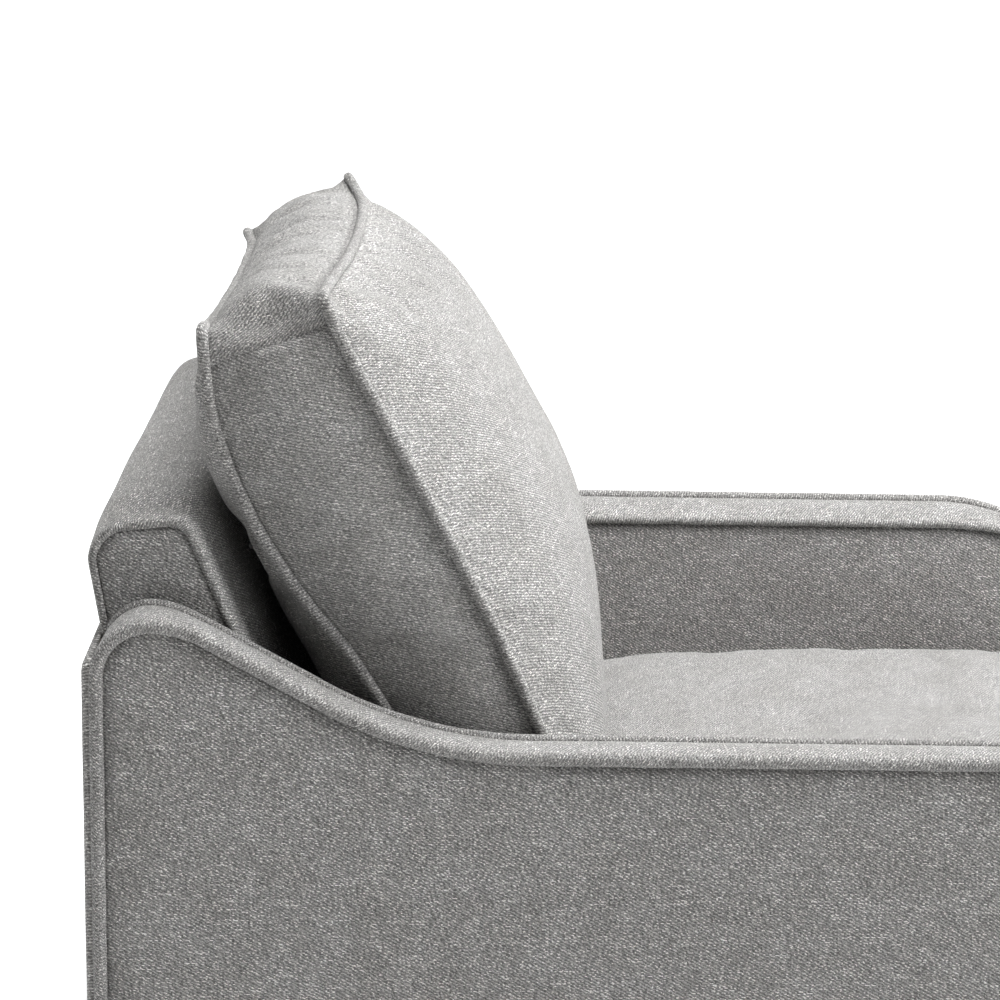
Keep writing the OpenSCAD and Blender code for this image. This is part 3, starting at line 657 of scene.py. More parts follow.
# ------------------------------------------------------------------ arms
for side_name, mirror in (("left", False), ("right", True)):
    # outer panel: flat field with light padding, pulled in at the welt
    line = arm_line(4.5)
    pts, faces = inside_mesh(line, 11.0)
    dist = distance(pts, line)
    x = XO - 4.1 + 4.6 * (1 - np.exp(-dist / 13.0))
    x += np.array([0.55 * ripple((p[0], p[1], 0), 120.0, 3.0 if mirror else 8.0) for p in pts])
    x += np.array([0.35 * math.sin((p[0] + 0.6 * p[1]) / 9.0 + 4 * ripple((p[0], p[1], 0), 60.0)) for p in pts]) \
        * np.exp(-dist / 14.0)
    low = np.clip((pts[:, 1] - 140.0) / 10.0, 0, 1)
    x -= 1.6 * (1 - low) ** 2
    verts = np.stack([x, pts[:, 0], pts[:, 1]], 1)
    faces = [f for f in faces]
    me = mesh("arm_outer_" + side_name, verts, faces, pts * [-1 if mirror else 1, 1], mirror)
    # normals must point outwards: +x before mirroring
    fixed = me.polygons[0].normal.x * (-1 if mirror else 1)
    if fixed < 0:
        me.flip_normals()
    me = thicken(me, 1.4)
    ob = new_object("arm_outer_" + side_name, me, CLOTH)
    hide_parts("arm_cover_outside_" + side_name, "arm_outside_padding_" + side_name)

    # inner panel: above the seat deck, and a strip down the front
    line = arm_edge(9.2, 4.5)
    top = [p for p in line if p[1] > deck_z(p[0]) - 23.5 or p[0] < -400]
    foot = [(-427.5, 140.0), (-427.5, deck_z(-427.5) - 23.5)]
    last = top[0]
    poly = np.array(top + foot)
    bottom = resample(np.array([foot[-1], (last[0], deck_z(last[0]) - 23.5)]), 11.0)[0][1:-1]
    poly = np.vstack([poly, bottom])
    pts, faces = inside_mesh(poly, 11.0)
    dist = distance(pts, np.array(top))
    x = 303.9 - 4.7 * (1 - np.exp(-dist / 15.0))
    x += np.array([0.3 * ripple((p[0], p[1], 5), 110.0, 5.0 if mirror else 2.0) for p in pts])
    verts = np.stack([x, pts[:, 0], pts[:, 1]], 1)
    me = mesh("arm_inner_" + side_name, verts, faces, pts * [1 if mirror else -1, 1], mirror)
    fixed = me.polygons[0].normal.x * (-1 if mirror else 1)
    if fixed > 0:
        me.flip_normals()
    me = thicken(me, 1.4)
    ob = new_object("arm_inner_" + side_name, me, CLOTH)
    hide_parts("arm_cover_inside_" + side_name, "arm_inside_foam_" + side_name)

    # band over the top: crowned across, its edges under the welts
    n_across = 17
    DROP = 8.0
    rows = []
    for k in range(n_across):
        f = k / (n_across - 1)
        d = 5.2 - 7.4 * max(0.0, math.sin(math.pi * f)) ** 0.42
        # the inside edge lies a little lower than the outside one
        row = arm_edge(d, DROP * (1 - f))
        rows.append(np.column_stack([np.full(len(row), 303.4 + (XO - 3.4 - 303.4) * f), row]))
    n_along = len(rows[0])
    mid = rows[n_across // 2][:, 1:]
    along = np.r_[0, np.cumsum(np.linalg.norm(np.diff(mid, axis=0), axis=1))]
    verts, uv = [], []
    for k in range(n_across):
        f = k / (n_across - 1)
        edge = math.sin(math.pi * f)
        for i in range(n_along):
            p = rows[k][i].copy()
            tdir = mid[min(i + 1, n_along - 1)] - mid[max(i - 1, 0)]
            tdir = tdir / (np.linalg.norm(tdir) + 1e-9)
            out = np.array([-tdir[1], tdir[0]])
            if out @ (mid[i] - np.array([100.0, 400.0])) < 0:
                out = -out
            q = (p[0] * (1 if not mirror else -1), p[1], p[2])
            lift = 0.9 * ripple(q, 70.0, 1.0) * edge + 0.35 * ripple(q, 22.0, 6.0) * edge ** 0.5
            p[1:] += out * lift
            verts.append(p)
            uv.append((p[0] if not mirror else -p[0], -along[i]))
    me = mesh("arm_band_" + side_name, verts, grid_faces(n_across, n_along), uv, mirror)
    fix = me.polygons[(n_across // 2) * (n_along - 1) + n_along // 2]
    if fix.normal.z < 0:
        me.flip_normals()
    me = thicken(me, 1.4)
    ob = new_object("arm_band_" + side_name, me, CLOTH_BAND)
    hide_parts("arm_cover_band_" + side_name, "arm_top_foam_" + side_name)

    # welts along both edges of the band
    centre = arm_line(2.0)
    first = next(i for i, p in enumerate(centre) if p[1] >= 693.0)
    v1, f1, u1 = tube(np.column_stack([np.full(len(centre), XO - 1.9), centre]), 5.4, seed=1.0 + mirror)
    inner = arm_edge(2.0, DROP)[first:]
    v2, f2, u2 = tube(np.column_stack([np.full(len(inner), 302.2), inner]), 4.3, seed=21.0 + mirror)
    faces = f1 + [tuple(i + len(v1) for i in f) for f in f2]
    me = fix_normals(mesh("arm_welt_" + side_name, v1 + v2, faces, u1 + u2, mirror))
    ob = new_object("arm_welt_" + side_name, me, CLOTH_WELT)
    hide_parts("arm_welts_" + side_name)


# ------------------------------------------------------------------ frame back
def bn(b):
    return np.array([-math.cos(rad(b)), math.sin(rad(b))])


def back_line(d):
    """The upholstered back's section, d inside its surface, from the foot of the front over the crest to the rear."""
    pts = []
    p0 = np.array([163.7, 330.0]) - d * bn(21)
    c1, c2 = np.array([361.0, 761.0]), np.array([387.0, 750.7])
    a = c1 + (30 - d) * bn(21)
    for i in range(48):
        pts.append(p0 + (a - p0) * i / 48)
    for b in np.linspace(21, 95, 12):
        pts.append(c1 + (30 - d) * bn(b))
    for b in np.linspace(95, 188, 14):
        pts.append(c2 + (38 - d) * bn(b))
    e = pts[-1]
    for i in range(1, 9):
        pts.append(e + 62 * np.array([-math.sin(rad(8)), -math.cos(rad(8))]) * i / 8)
    return np.array(pts)


def back_section(d, extra):
    """The same, let in by extra over the front and the crest but not down the rear."""
    a, b = back_line(d), back_line(d + extra)
    w = np.clip((72.0 - np.arange(len(a))) / 11.0, 0, 1)[:, None]
    return a * (1 - w) + b * w


def droop(x):
    t = min(1.0, max(0.0, (abs(x) - 236.0) / 58.0))
    k = min(1.0, max(0.0, (x + 240.0) / 534.0))          # the stuffing has settled a little towards the left
    return 8.0 * t * t * (3 - 2 * t) + 7.0 * k * k * (3 - 2 * k)


stations = [(-293.6, 7.0), (-294.3, 4.2), (-293.6, 1.6), (-291.0, 0.2), (-285.0, -0.5)]
xs = list(np.linspace(-285.0, 285.0, 54))[1:-1]
stations = stations + [(x, -0.6) for x in xs] + [(-x, d) for x, d in reversed(stations)]
verts, uv = [], []
cols = [back_section(d, droop(x)) for x, d in stations]
base_line = back_line(0)
along = np.r_[0, np.cumsum(np.linalg.norm(np.diff(base_line, axis=0), axis=1))]
n_along = len(base_line)
u_pos = 0.0
for k, (x, d) in enumerate(stations):
    if k:
        u_pos += math.hypot(x - stations[k - 1][0], d - stations[k - 1][1])
    for i in range(n_along):
        p = cols[k][i]
        # the crest dips a little between its ends and the front face is slightly quilted by use
        inside = max(0.0, 1 - (abs(x) / 285.0) ** 4)
        w = 1.2 * ripple((x, p[0], p[1]), 90.0, 2.0) * inside
        t = base_line[min(i + 1, n_along - 1)] - base_line[max(i - 1, 0)]
        t /= np.linalg.norm(t)
        out = np.array([-t[1], t[0]])
        front = 1.0 if i < 44 else 0.0
        q = p + out * (min(w, 0.4) if front else w)
        verts.append((x, q[0], q[1]))
        uv.append((u_pos, along[i]))
me = mesh("back_wrap", verts, grid_faces(len(stations), n_along), uv)
if me.polygons[27 * (n_along - 1) + 20].normal.y > 0:
    me.flip_normals()
me = thicken(me, 1.4)
ob = new_object("back_wrap", me, CLOTH)
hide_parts("back_cover_front", "back_foam")

for side_name, mirror in (("left", False), ("right", True)):
    section = [p for p in back_section(6.4, droop(-294.0 if mirror else 294.0)) if p[1] > 520.0]
    poly = np.array(section + [(416.5, 610.0), (418.5, 520.0)])
    poly = np.vstack([resample(poly, 8.0)[0], resample(np.array([poly[-1], poly[0]]), 8.0)[0][1:-1]])
    pts, faces = inside_mesh(poly, 8.0)
    dist = distance(pts, np.array(section))
    x = 292.3 + 1.9 * (1 - np.exp(-dist / 9.0))
    x += np.array([0.25 * ripple((p[0], p[1], 9), 60.0) for p in pts])
    verts = np.stack([x, pts[:, 0], pts[:, 1]], 1)
    me = mesh("back_side_" + side_name, verts, faces, pts * [-1 if mirror else 1, 1], mirror)
    if me.polygons[0].normal.x * (-1 if mirror else 1) < 0:
        me.flip_normals()
    me = thicken(me, 1.0)
    ob = new_object("back_side_" + side_name, me, CLOTH)
    if mirror:
        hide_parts("back_cover_sides")


# ------------------------------------------------------------------ upholstered pads on a flat base
def pad(name, point, width, height, depth, step, round_mm, corner, mat, flip=False, seed=0.0, edge_depth=0.0):
    """A closed pad: a crowned face over a rounded rectangle, its edge rolled down to its base. point(a, b, h) places it."""
    na, nb = int(width / step), int(height / step)
    us = np.sin(np.linspace(-1, 1, na + 1) * math.pi / 2 * 0.92) / math.sin(math.pi / 2 * 0.92)
    vs = np.sin(np.linspace(-1, 1, nb + 1) * math.pi / 2 * 0.92) / math.sin(math.pi / 2 * 0.92)
    verts, uv = [], []
    for v in vs:
        for u in us:
            a, b = u * width / 2, v * height / 2
            # pull the four corners of the square into a rounded corner
            ca, cb = abs(a) - (width / 2 - corner), abs(b) - (height / 2 - corner)
            if ca > 0 and cb > 0:
                m = max(ca, cb)
                r = math.hypot(ca, cb)
                k = m / r
                a = math.copysign(width / 2 - corner + ca * k, a)
                b = math.copysign(height / 2 - corner + cb * k, b)
            da, db = width / 2 - abs(a), height / 2 - abs(b)
            if ca > 0 and cb > 0:
                e = corner - math.hypot(abs(a) - (width / 2 - corner), abs(b) - (height / 2 - corner))
            else:
                e = min(da, db)
            f = min(1.0, max(0.0, e) / round_mm)
            h = edge_depth + (depth - edge_depth) * math.sqrt(max(0.0, 1 - (1 - f) ** 2))
            h += 0.7 * ripple((a, b, seed), 90.0, seed) * f
            verts.append(point(a, b, h))
            uv.append((a, b))
    n = (na + 1) * (nb + 1)
    faces = grid_faces(nb + 1, na + 1, flip=flip)
    ring = [i for i in range(na + 1)] + [(na + 1) * (j + 1) - 1 for j in range(1, nb + 1)] + \
        [n - 1 - i for i in range(1, na + 1)] + [(na + 1) * (nb - j) for j in range(1, nb)]
    base = len(verts)
    for i in ring:
        a, b = uv[i]
        verts.append(point(a * 0.997, b * 0.997, 0.0))
        uv.append((a, b))
    for k in range(len(ring)):
        l = (k + 1) % len(ring)
        q = (ring[k], base + k, base + l, ring[l])
        faces.append(tuple(reversed(q)) if flip else q)
    cap = tuple(base + k for k in range(len(ring)))
    faces.append(cap if flip else tuple(reversed(cap)))
    return fix_normals(mesh(name, verts, faces, uv))


zc, zh = (140 + 689) / 2, 689 - 140


def outside_point(a, b, h):
    z = zc + b
    return (a, rear_y(z, -3.4 - h), z)


me = pad("outside_back", outside_point, 704.0, zh, 8.6, 12.0, 13.0, 14.0, CLOTH, seed=3.0, edge_depth=2.0)
for poly in me.polygons:
    pass
ob = new_object("outside_back", me, CLOTH)
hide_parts("outside_back_cover", "outside_back_padding")


def border_point(a, b, h):
    return (a, -448.0 - h, 245.0 + b)


me = pad("front_border", border_point, 597.4, 209.0, 4.4, 11.0, 12.0, 4.0, CLOTH, seed=9.0, edge_depth=1.0)
ob = new_object("front_border", me, CLOTH)
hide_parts("front_border_cover")


def deck_top(a, b, h):
    return tuple(deck_point(a, 307.0 + b, -1.5 + h))


me = pad("seat_deck", deck_top, 593.0, 609.6, 1.3, 16.0, 18.0, 4.0, MATERIAL["lining_black"], seed=5.0, edge_depth=0.3)
ob = new_object("seat_deck", me, MATERIAL["lining_black"])
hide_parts("deck_cloth")


# ------------------------------------------------------------------ cushions
def coons(bottom, top, left, right, u, v):
    """Fills four edge curves. u runs along bottom and top, v along left and right."""
    B, T, L, R = bottom(u), top(u), left(v), right(v)
    c00, c10, c01, c11 = bottom(0.0), bottom(1.0), top(0.0), top(1.0)
    return (1 - v) * B + v * T + (1 - u) * L + u * R - (
        (1 - u) * (1 - v) * c00 + u * (1 - v) * c10 + (1 - u) * v * c01 + u * v * c11)


def table(pairs):
    xs = [p[0] for p in pairs]
    ys = [p[1] for p in pairs]
    # smooth interpolation through the points
    xx = np.linspace(xs[0], xs[-1], 400)
    yy = np.interp(xx, xs, ys)
    k = np.hanning(25)
    k /= k.sum()
    pad_l = 2 * yy[0] - yy[1:13][::-1]
    pad_r = 2 * yy[-1] - yy[-13:-1][::-1]
    zz = np.convolve(np.r_[pad_l, yy, pad_r], k, "valid")
    return lambda x: float(np.interp(x, xx, zz))


def box_cushion(name, us, vs, ks, face_a, face_b, edge_bulge, place, uv_a, uv_b, uv_edge, mat):
    """Two faces and a boxing between them, joined at the seams. face_a/b(u, v) and the bulge give the starting shape in
    the cushion's own frame. Returns the mesh, the seam loops, and the starting points."""
    nu, nv, nk = len(us), len(vs), len(ks)
    A = np.array([[face_a(u, v) for u in us] for v in vs])
    B = np.array([[face_b(u, v) for u in us] for v in vs])
    verts = [p for p in A.reshape(-1, 3)] + [p for p in B.reshape(-1, 3)]
    ia = lambda j, i: j * nu + i
    ib = lambda j, i: nu * nv + j * nu + i
    loop = [(0, i) for i in range(nu - 1)] + [(j, nu - 1) for j in range(nv - 1)] + \
        [(nv - 1, nu - 1 - i) for i in range(nu - 1)] + [(nv - 1 - j, 0) for j in range(nv - 1)]
    n = len(loop)
    rows = [[ia(j, i) for j, i in loop]]
    for k in range(1, nk - 1):
        t = ks[k]
        row = []
        for c, (j, i) in enumerate(loop):
            p = A[j, i] * (1 - t) + B[j, i] * t
            p = p + edge_bulge(us[i], vs[j], t, (0 if j == 0 and i < nu - 1 else 1 if i == nu - 1 and j < nv - 1 else
                                                2 if j == nv - 1 and i > 0 else 3))
            row.append(len(verts))
            verts.append(p)
        rows.append(row)
    rows.append([ib(j, i) for j, i in loop])
    faces, uv, tag = [], [], []
    for j in range(nv - 1):
        for i in range(nu - 1):
            faces.append((ia(j, i), ia(j, i + 1), ia(j + 1, i + 1), ia(j + 1, i)))
            uv += [uv_a(us[a], vs[b]) for a, b in ((i, j), (i + 1, j), (i + 1, j + 1), (i, j + 1))]
            faces.append((ib(j, i), ib(j + 1, i), ib(j + 1, i + 1), ib(j, i + 1)))
            uv += [uv_b(us[a], vs[b]) for a, b in ((i, j), (i, j + 1), (i + 1, j + 1), (i + 1, j))]
    for c in range(n):
        e = (c + 1) % n
        (j0, i0), (j1, i1) = loop[c], loop[e]
        edge = 0 if c < nu - 1 else 1 if c < nu - 1 + nv - 1 else 2 if c < 2 * (nu - 1) + nv - 1 else 3
        for k in range(nk - 1):
            faces.append((rows[k][c], rows[k + 1][c], rows[k + 1][e], rows[k][e]))
            ua = [(us[i0], vs[j0], ks[k]), (us[i0], vs[j0], ks[k + 1]), (us[i1], vs[j1], ks[k + 1]), (us[i1], vs[j1], ks[k])]
            mid_v = (vs[j0] + vs[j1]) / 2
            uv += [uv_edge(a, b, t, edge, mid_v) for a, b, t in ua]
    verts = np.array(verts)
    placed = np.array([place(*p) for p in verts])
    me = mesh(name, placed, faces, uv)
    return me, verts, rows[0], rows[-1]


def inflate(me, pins, pressure, frames, shrink, bend=0.6, stiff=14.0, mass=0.3):
    """Runs the cloth with pressure on a mesh and returns where its points end, in metres."""
    ob = bpy.data.objects.new("sim", me)
    SCENE.collection.objects.link(ob)
    group = ob.vertex_groups.new(name="pin")
    group.add([int(i) for i in pins], 1.0, "REPLACE")
    m = ob.modifiers.new("Cloth", "CLOTH")
    s = m.settings
    s.quality = 5
    s.mass = mass
    s.air_damping = 3.0
    s.tension_stiffness = stiff
    s.compression_stiffness = stiff
    s.shear_stiffness = stiff * 0.35
    s.bending_stiffness = bend
    s.use_pressure = True
    s.uniform_pressure_force = pressure
    s.vertex_group_mass = "pin"
    s.pin_stiffness = 1.0
    s.shrink_min = shrink
    s.effector_weights.gravity = 0.0
    m.collision_settings.use_collision = False
    m.collision_settings.use_self_collision = False
    m.point_cache.frame_start = 1
    m.point_cache.frame_end = frames
    SCENE.frame_start, SCENE.frame_end = 1, frames
    for f in range(1, frames + 1):
        SCENE.frame_set(f)
    bpy.context.view_layer.update()
    dg = bpy.context.evaluated_depsgraph_get()
    ev = ob.evaluated_get(dg).to_mesh()
    co = np.empty(len(ev.vertices) * 3, np.float32)
    ev.vertices.foreach_get("co", co)
    ob.evaluated_get(dg).to_mesh_clear()
    bpy.data.objects.remove(ob)
    SCENE.frame_set(1)
    return co.reshape(-1, 3).astype(float)


def get_co(me):
    co = np.empty(len(me.vertices) * 3, np.float32)
    me.vertices.foreach_get("co", co)
    return co.reshape(-1, 3).astype(float)


def set_co(me, co):
    me.vertices.foreach_set("co", np.asarray(co, np.float32).ravel())
    me.update()


def normals(me):
    n = np.empty(len(me.vertices) * 3, np.float32)
    me.vertices.foreach_get("normal", n)
    return n.reshape(-1, 3).astype(float)


def to_local(co, lean, oy, oz):
    """World metres to a cushion's own frame, mm."""
    c, s = math.cos(rad(lean)), math.sin(rad(lean))
    y = co[:, 1] * 1000 - YM - oy
    z = co[:, 2] * 1000 - oz
    return np.stack([co[:, 0] * 1000, y * c - z * s, y * s + z * c], 1)


def to_world(p, lean, oy, oz):
    c, s = math.cos(rad(lean)), math.sin(rad(lean))
    return np.stack([p[:, 0], oy + p[:, 1] * c + p[:, 2] * s + YM, oz - p[:, 1] * s + p[:, 2] * c], 1) * 0.001


def add_rest(me, local):
    a = me.attributes.new("rest", "FLOAT_VECTOR", "POINT")
    a.data.foreach_set("vector", local.astype(np.float32).ravel())


def get_rest(me):
    a = me.attributes["rest"]
    out = np.empty(len(me.vertices) * 3, np.float32)
    a.data.foreach_get("vector", out)
    return out.reshape(-1, 3).astype(float)


def smooth_step(a, b, x):
    t = np.clip((x - a) / (b - a), 0, 1)
    return t * t * (3 - 2 * t)


# ---- back cushion: seam curves in its own frame (x, y to the rear, z up its face)
BW, BH = 287.0, 530.0
front_side = table([(0, 2.6), (80, 0), (151, -3), (231, -6), (317, -4), (402, -2), (488, 1.5), (530, -0.3)])
rear_near = table([(0, 88), (60, 90), (120, 96), (180, 100), (237, 105), (274, 114), (319, 122), (365, 125), (409, 124),
                   (450, 119), (498, 108), (530, 92)])
rear_far = table([(0, 100), (80, 108), (180, 116), (300, 122), (400, 123), (480, 120), (530, 119)])
front_top_z = table([(-287, 531), (-262, 529), (-200, 525.5), (-100, 519), (0, 516), (100, 515), (200, 514.5), (255, 518), (287, 536)])
front_top_y = table([(-287, 0), (-240, -1), (-170, -4), (-80, -7), (0, -8.5), (100, -8.5), (190, -5), (250, 1), (287, 8)])
rear_top_z = table([(-287, 548), (-262, 542), (-200, 536), (-100, 529), (0, 522), (100, 517), (200, 516), (262, 519), (287, 529)])
rear_top_y = table([(-287, 91), (-240, 92), (-150, 96), (-50, 102), (50, 108), (150, 111), (240, 112), (287, 119)])


def pull(v):
    return 6.5 * math.sin(math.pi * min(1.0, max(0.0, v))) ** 0.8


FA = {
    "bottom": lambda u: np.array([(2 * u - 1) * BW, 2.6, 8.5]),
    "top": lambda u: np.array([(2 * u - 1) * BW, front_top_y((2 * u - 1) * BW), front_top_z((2 * u - 1) * BW)]),
    "left": lambda v: np.array([-BW + pull(v), front_side(v * BH), 8.5 + v * (531 - 8.5)]),
    "right": lambda v: np.array([BW - pull(v), front_side(v * BH) + 8.3 * v ** 6, 8.5 + v * (536 - 8.5)]),
}
FB = {
    "bottom": lambda u: np.array([(2 * u - 1) * BW, 88 + 12 * u, 45.0 + 3 * u]),
    "top": lambda u: np.array([(2 * u - 1) * BW, rear_top_y((2 * u - 1) * BW), rear_top_z((2 * u - 1) * BW)]),
    "left": lambda v: np.array([-BW + pull(v), rear_near(v * BH), 45 + v * (548 - 45) - 6.0 * math.sin(math.pi * min(1.0, max(0.0, (v - 0.88) / 0.12)))]),
    "right": lambda v: np.array([BW - pull(v), rear_far(v * BH), 48 + v * (529 - 48)]),
}
FIX_A = (FA["bottom"], FA["top"], FA["left"], FA["right"])
FIX_B = (FB["bottom"], FB["top"], FB["left"], FB["right"])
crown_front = table([(0, 0), (9, 8), (40, 21), (91, 34), (153, 51), (217, 62), (275, 64.5), (350, 60), (429, 52.5), (480, 46),
                     (505, 37), (520, 23), (530, 0)])
crown_rear = table([(0, 0), (25, 19), (60, 33), (120, 38), (180, 36), (237, 33), (274, 26), (319, 20), (366, 16), (409, 17),
                    (450, 20), (498, 22), (515, 14), (530, 0)])


def face_front(u, v):
    p = coons(*FIX_A, u, v)
    a = abs(2 * u - 1)
    across = max(0.0, 1 - a ** 2.4) ** 0.62
    p = p.copy()
    p[1] -= (crown_front(v * BH) * across) * 0.96
    p[2] += 5.0 * across * math.sin(math.pi * v) * (v - 0.45)
    return p


def face_rear(u, v):
    p = coons(*FIX_B, u, v)
    a = abs(2 * u - 1)
    across = max(0.0, 1 - a ** 10.0) ** 0.5
    room = 140.0 - p[1]
    p = p.copy()
    p[1] += min(crown_rear(v * BH), max(room, 0) + 2) * across
    return p


def back_bulge(u, v, t, edge):
    b = math.sin(math.pi * t) ** 0.7
    if edge == 0:
        return np.array([0, 0, 2.0 * b])
    # the boxing is rounded over its top corners, between the ears
    def shoulder(s):
        return 10.5 * b * max(0.0, 1 - s / 34.0) ** 2
    if edge == 2:
        lift = 22.0 * b * max(0.0, 1 - abs(2 * u - 1) ** 14)
        m = shoulder((1 - abs(2 * u - 1)) * 287.0) * (0.5 if u > 0.5 else 1.0)
        return np.array([-m if u > 0.5 else m, 0, lift - m])
    f = 5.5 * b * math.sin(math.pi * min(1, max(0, v))) ** 0.5
    m = shoulder((1 - v) * 530.0)
    return np.array([f - m if edge == 1 else m - f, 0, -m])


WRAP = 20.0


def back_uv_edge(u, v, t, edge, mid_v):
    w = 118.0 * t
    h = v * BH
    if edge in (1, 3) and mid_v * BH < BH - WRAP:
        return (-w, h) if edge == 3 else (w, h)
    if edge == 0:
        return (u * 574.0, w)
    # the top boxing runs across the top and 25 mm down each side
    if edge == 3:
        s = h - (BH - WRAP)
    elif edge == 1:
        s = WRAP + 574.0 + (BH - h)
    else:
        s = WRAP + u * 574.0
    return (-w, -s)


top_rows = [BH - 24.0, BH - 20.0, BH - 16.0, BH - 10.5, BH - 5.0]
side_rows = list(np.linspace(0, BH - 32.0, 53)) + top_rows + [BH]
us = np.linspace(0, 1, 62)
vs = np.array(side_rows) / BH
ks = np.linspace(0, 1, 14)
me, local, seam_a, seam_b = box_cushion(
    "back_cushion", us, vs, ks, face_front, face_rear, back_bulge, cushion_point,
    lambda u, v: (u * 590.0, v * 570.0), lambda u, v: (-u * 580.0, v * 540.0), back_uv_edge, CLOTH)
add_rest(me, local)
BACK = (25.0, 17.0, 471.0)
start = get_co(me)
pins = sorted(set(seam_a) | set(seam_b))
end = inflate(me, pins, 3.2, 22, -0.022, bend=0.5)
move = end - start
size = np.linalg.norm(move, axis=1)
cap = 0.014
k = np.where(size > 1e-9, cap * np.tanh(size / cap) / np.maximum(size, 1e-9), 0)
set_co(me, start + move * k[:, None])
me = subdivided(me, 1)
p = to_local(get_co(me), *BACK)
rest = get_rest(me)
nr = normals(me)
c25, s25 = math.cos(rad(25)), math.sin(rad(25))
nl = np.stack([nr[:, 0], nr[:, 1] * c25 - nr[:, 2] * s25, nr[:, 1] * s25 + nr[:, 2] * c25], 1)
add = np.zeros(len(p))
side_zone = (np.abs(rest[:, 0]) > 274) & (rest[:, 1] > 4) & (rest[:, 1] < 128)
# seam where the top boxing meets the side boxing
seam_z = 511.3 + 9.0 * np.clip(rest[:, 1] / 110.0, 0, 1)
d = np.abs(rest[:, 2] - seam_z)
add -= np.where(side_zone, 2.0 * np.exp(-(d / 2.0) ** 2), 0)
add += np.where(side_zone & (rest[:, 2] > seam_z), 0.9 * np.exp(-((d - 8.0) / 6.0) ** 2), 0)
# the boxing dips beside its welts
fs = np.interp(rest[:, 2], np.linspace(0, 548, 200), [front_side(q) for q in np.linspace(0, 548, 200)])
rn = np.interp(rest[:, 2], np.linspace(0, 548, 200), [rear_near(q) for q in np.linspace(0, 548, 200)])
rf = np.interp(rest[:, 2], np.linspace(0, 548, 200), [rear_far(q) for q in np.linspace(0, 548, 200)])
ft = np.interp(rest[:, 0], np.linspace(-300, 300, 200), [front_top_y(q) for q in np.linspace(-300, 300, 200)])
rt = np.interp(rest[:, 0], np.linspace(-300, 300, 200), [rear_top_y(q) for q in np.linspace(-300, 300, 200)])
rs = np.where(rest[:, 0] < 0, rn, rf)
top_zone = (rest[:, 2] > 510) & (np.abs(rest[:, 0]) < 284)
for zone, near_y, far_y in ((side_zone & (rest[:, 2] < 520), fs, rs), (top_zone, ft, rt)):
    for gap, deep in ((rest[:, 1] - near_y, 2.0), (far_y - rest[:, 1], 1.6)):
        add -= np.where(zone & (gap > 1.0), deep * np.exp(-(np.maximum(gap, 0) / 4.5) ** 2), 0)
# fine puckers along the seams, dying out over the panels
for i in range(len(p)):
    x, y, z = rest[i]
    edge_top = abs(z - 524.0)
    on_top = z > 512 and 4 < y < 118 and abs(x) < 283
    if on_top:
        # long curved tension wrinkles across the top boxing, from rear left to front right
        q = x + 1.15 * (y - 60.0) + 0.004 * (y - 60.0) ** 2
        amp = 1.25 * (0.45 + 0.55 * noise.noise(Vector((x / 90.0, 1.0, 4.0)))) * math.sin(math.pi * min(1, max(0, (y - 3) / 112.0))) ** 0.5
        add[i] += amp * math.sin(q / 5.6 + 2.2 * noise.noise(Vector((x / 45.0, y / 60.0, 2.0))))
    elif y < -2 or (y < 60 and abs(x) < 280 and z < 520):
        # front face: shallow pulls fanning from the welt
        db = 287.0 - abs(x)
        dt = 524.0 - z
        e = min(db, max(dt, 0.0))
        if e < 45:
            along_s = z if db < dt else x
            add[i] += 0.55 * math.exp(-e / 16.0) * math.sin(along_s / 6.5 + 3.0 * noise.noise(Vector((along_s / 40.0, 7.0, 1.0))))
        add[i] += 1.3 * noise.noise(Vector((x / 75.0, z / 85.0, 3.0)))
# pucker from the near front corner, down and back over the wrapped boxing
for sx, strength in ((-1, 1.0), (1, 0.7)):
    a = np.array([3.0, 531.0])
    b = np.array([30.0, 517.0])
    ab = b - a
    q = rest[:, 1:3] - a
    tt = np.clip(q @ ab / (ab @ ab), 0, 1)
    dd = np.linalg.norm(q - tt[:, None] * ab, axis=1)
    zone = side_zone & (rest[:, 0] * sx > 0)
    add -= np.where(zone, strength * 2.6 * (1 - tt) ** 0.6 * np.exp(-(dd / 3.4) ** 2), 0)
    add += np.where(zone, strength * 1.4 * (1 - tt) * np.exp(-((dd - 7.0) / 4.5) ** 2), 0)
p = p + nl * add[:, None]
# stays off its neighbours: the arms, the seat cushion, the frame back and the zip
p[:, 0] = np.clip(p[:, 0], -295.6, 295.6)
near_zip = np.exp(-(np.maximum(0, np.abs(p[:, 2] - 366.0) - 10.0) / 16.0) ** 2) * (np.abs(p[:, 0]) < 262)
limit = 150.0 + (139.1 - 150.0) * near_zip
limit = np.where(p[:, 2] > 430, 146.0, limit)
p[:, 1] = np.minimum(p[:, 1], limit)
# a flat for the zip's tapes
flat = near_zip * (rest[:, 1] > 100)
p[:, 1] = p[:, 1] * (1 - flat) + 139.1 * flat
foot = 49.2 * np.clip(p[:, 1], -5, 140) / 120.0 + 0.5
foot = np.where(p[:, 1] < 0, 0.5 - 0.15 * p[:, 1], foot)
p[:, 2] = np.maximum(p[:, 2], foot)
set_co(me, to_world(p, *BACK))
me.attributes.remove(me.attributes["rest"])
ob = new_object("back_cushion_cover", me, CLOTH_BACK, body="back_cushion")
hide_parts("back_cushion_fill", "back_cushion_panels", "back_cushion_boxing")


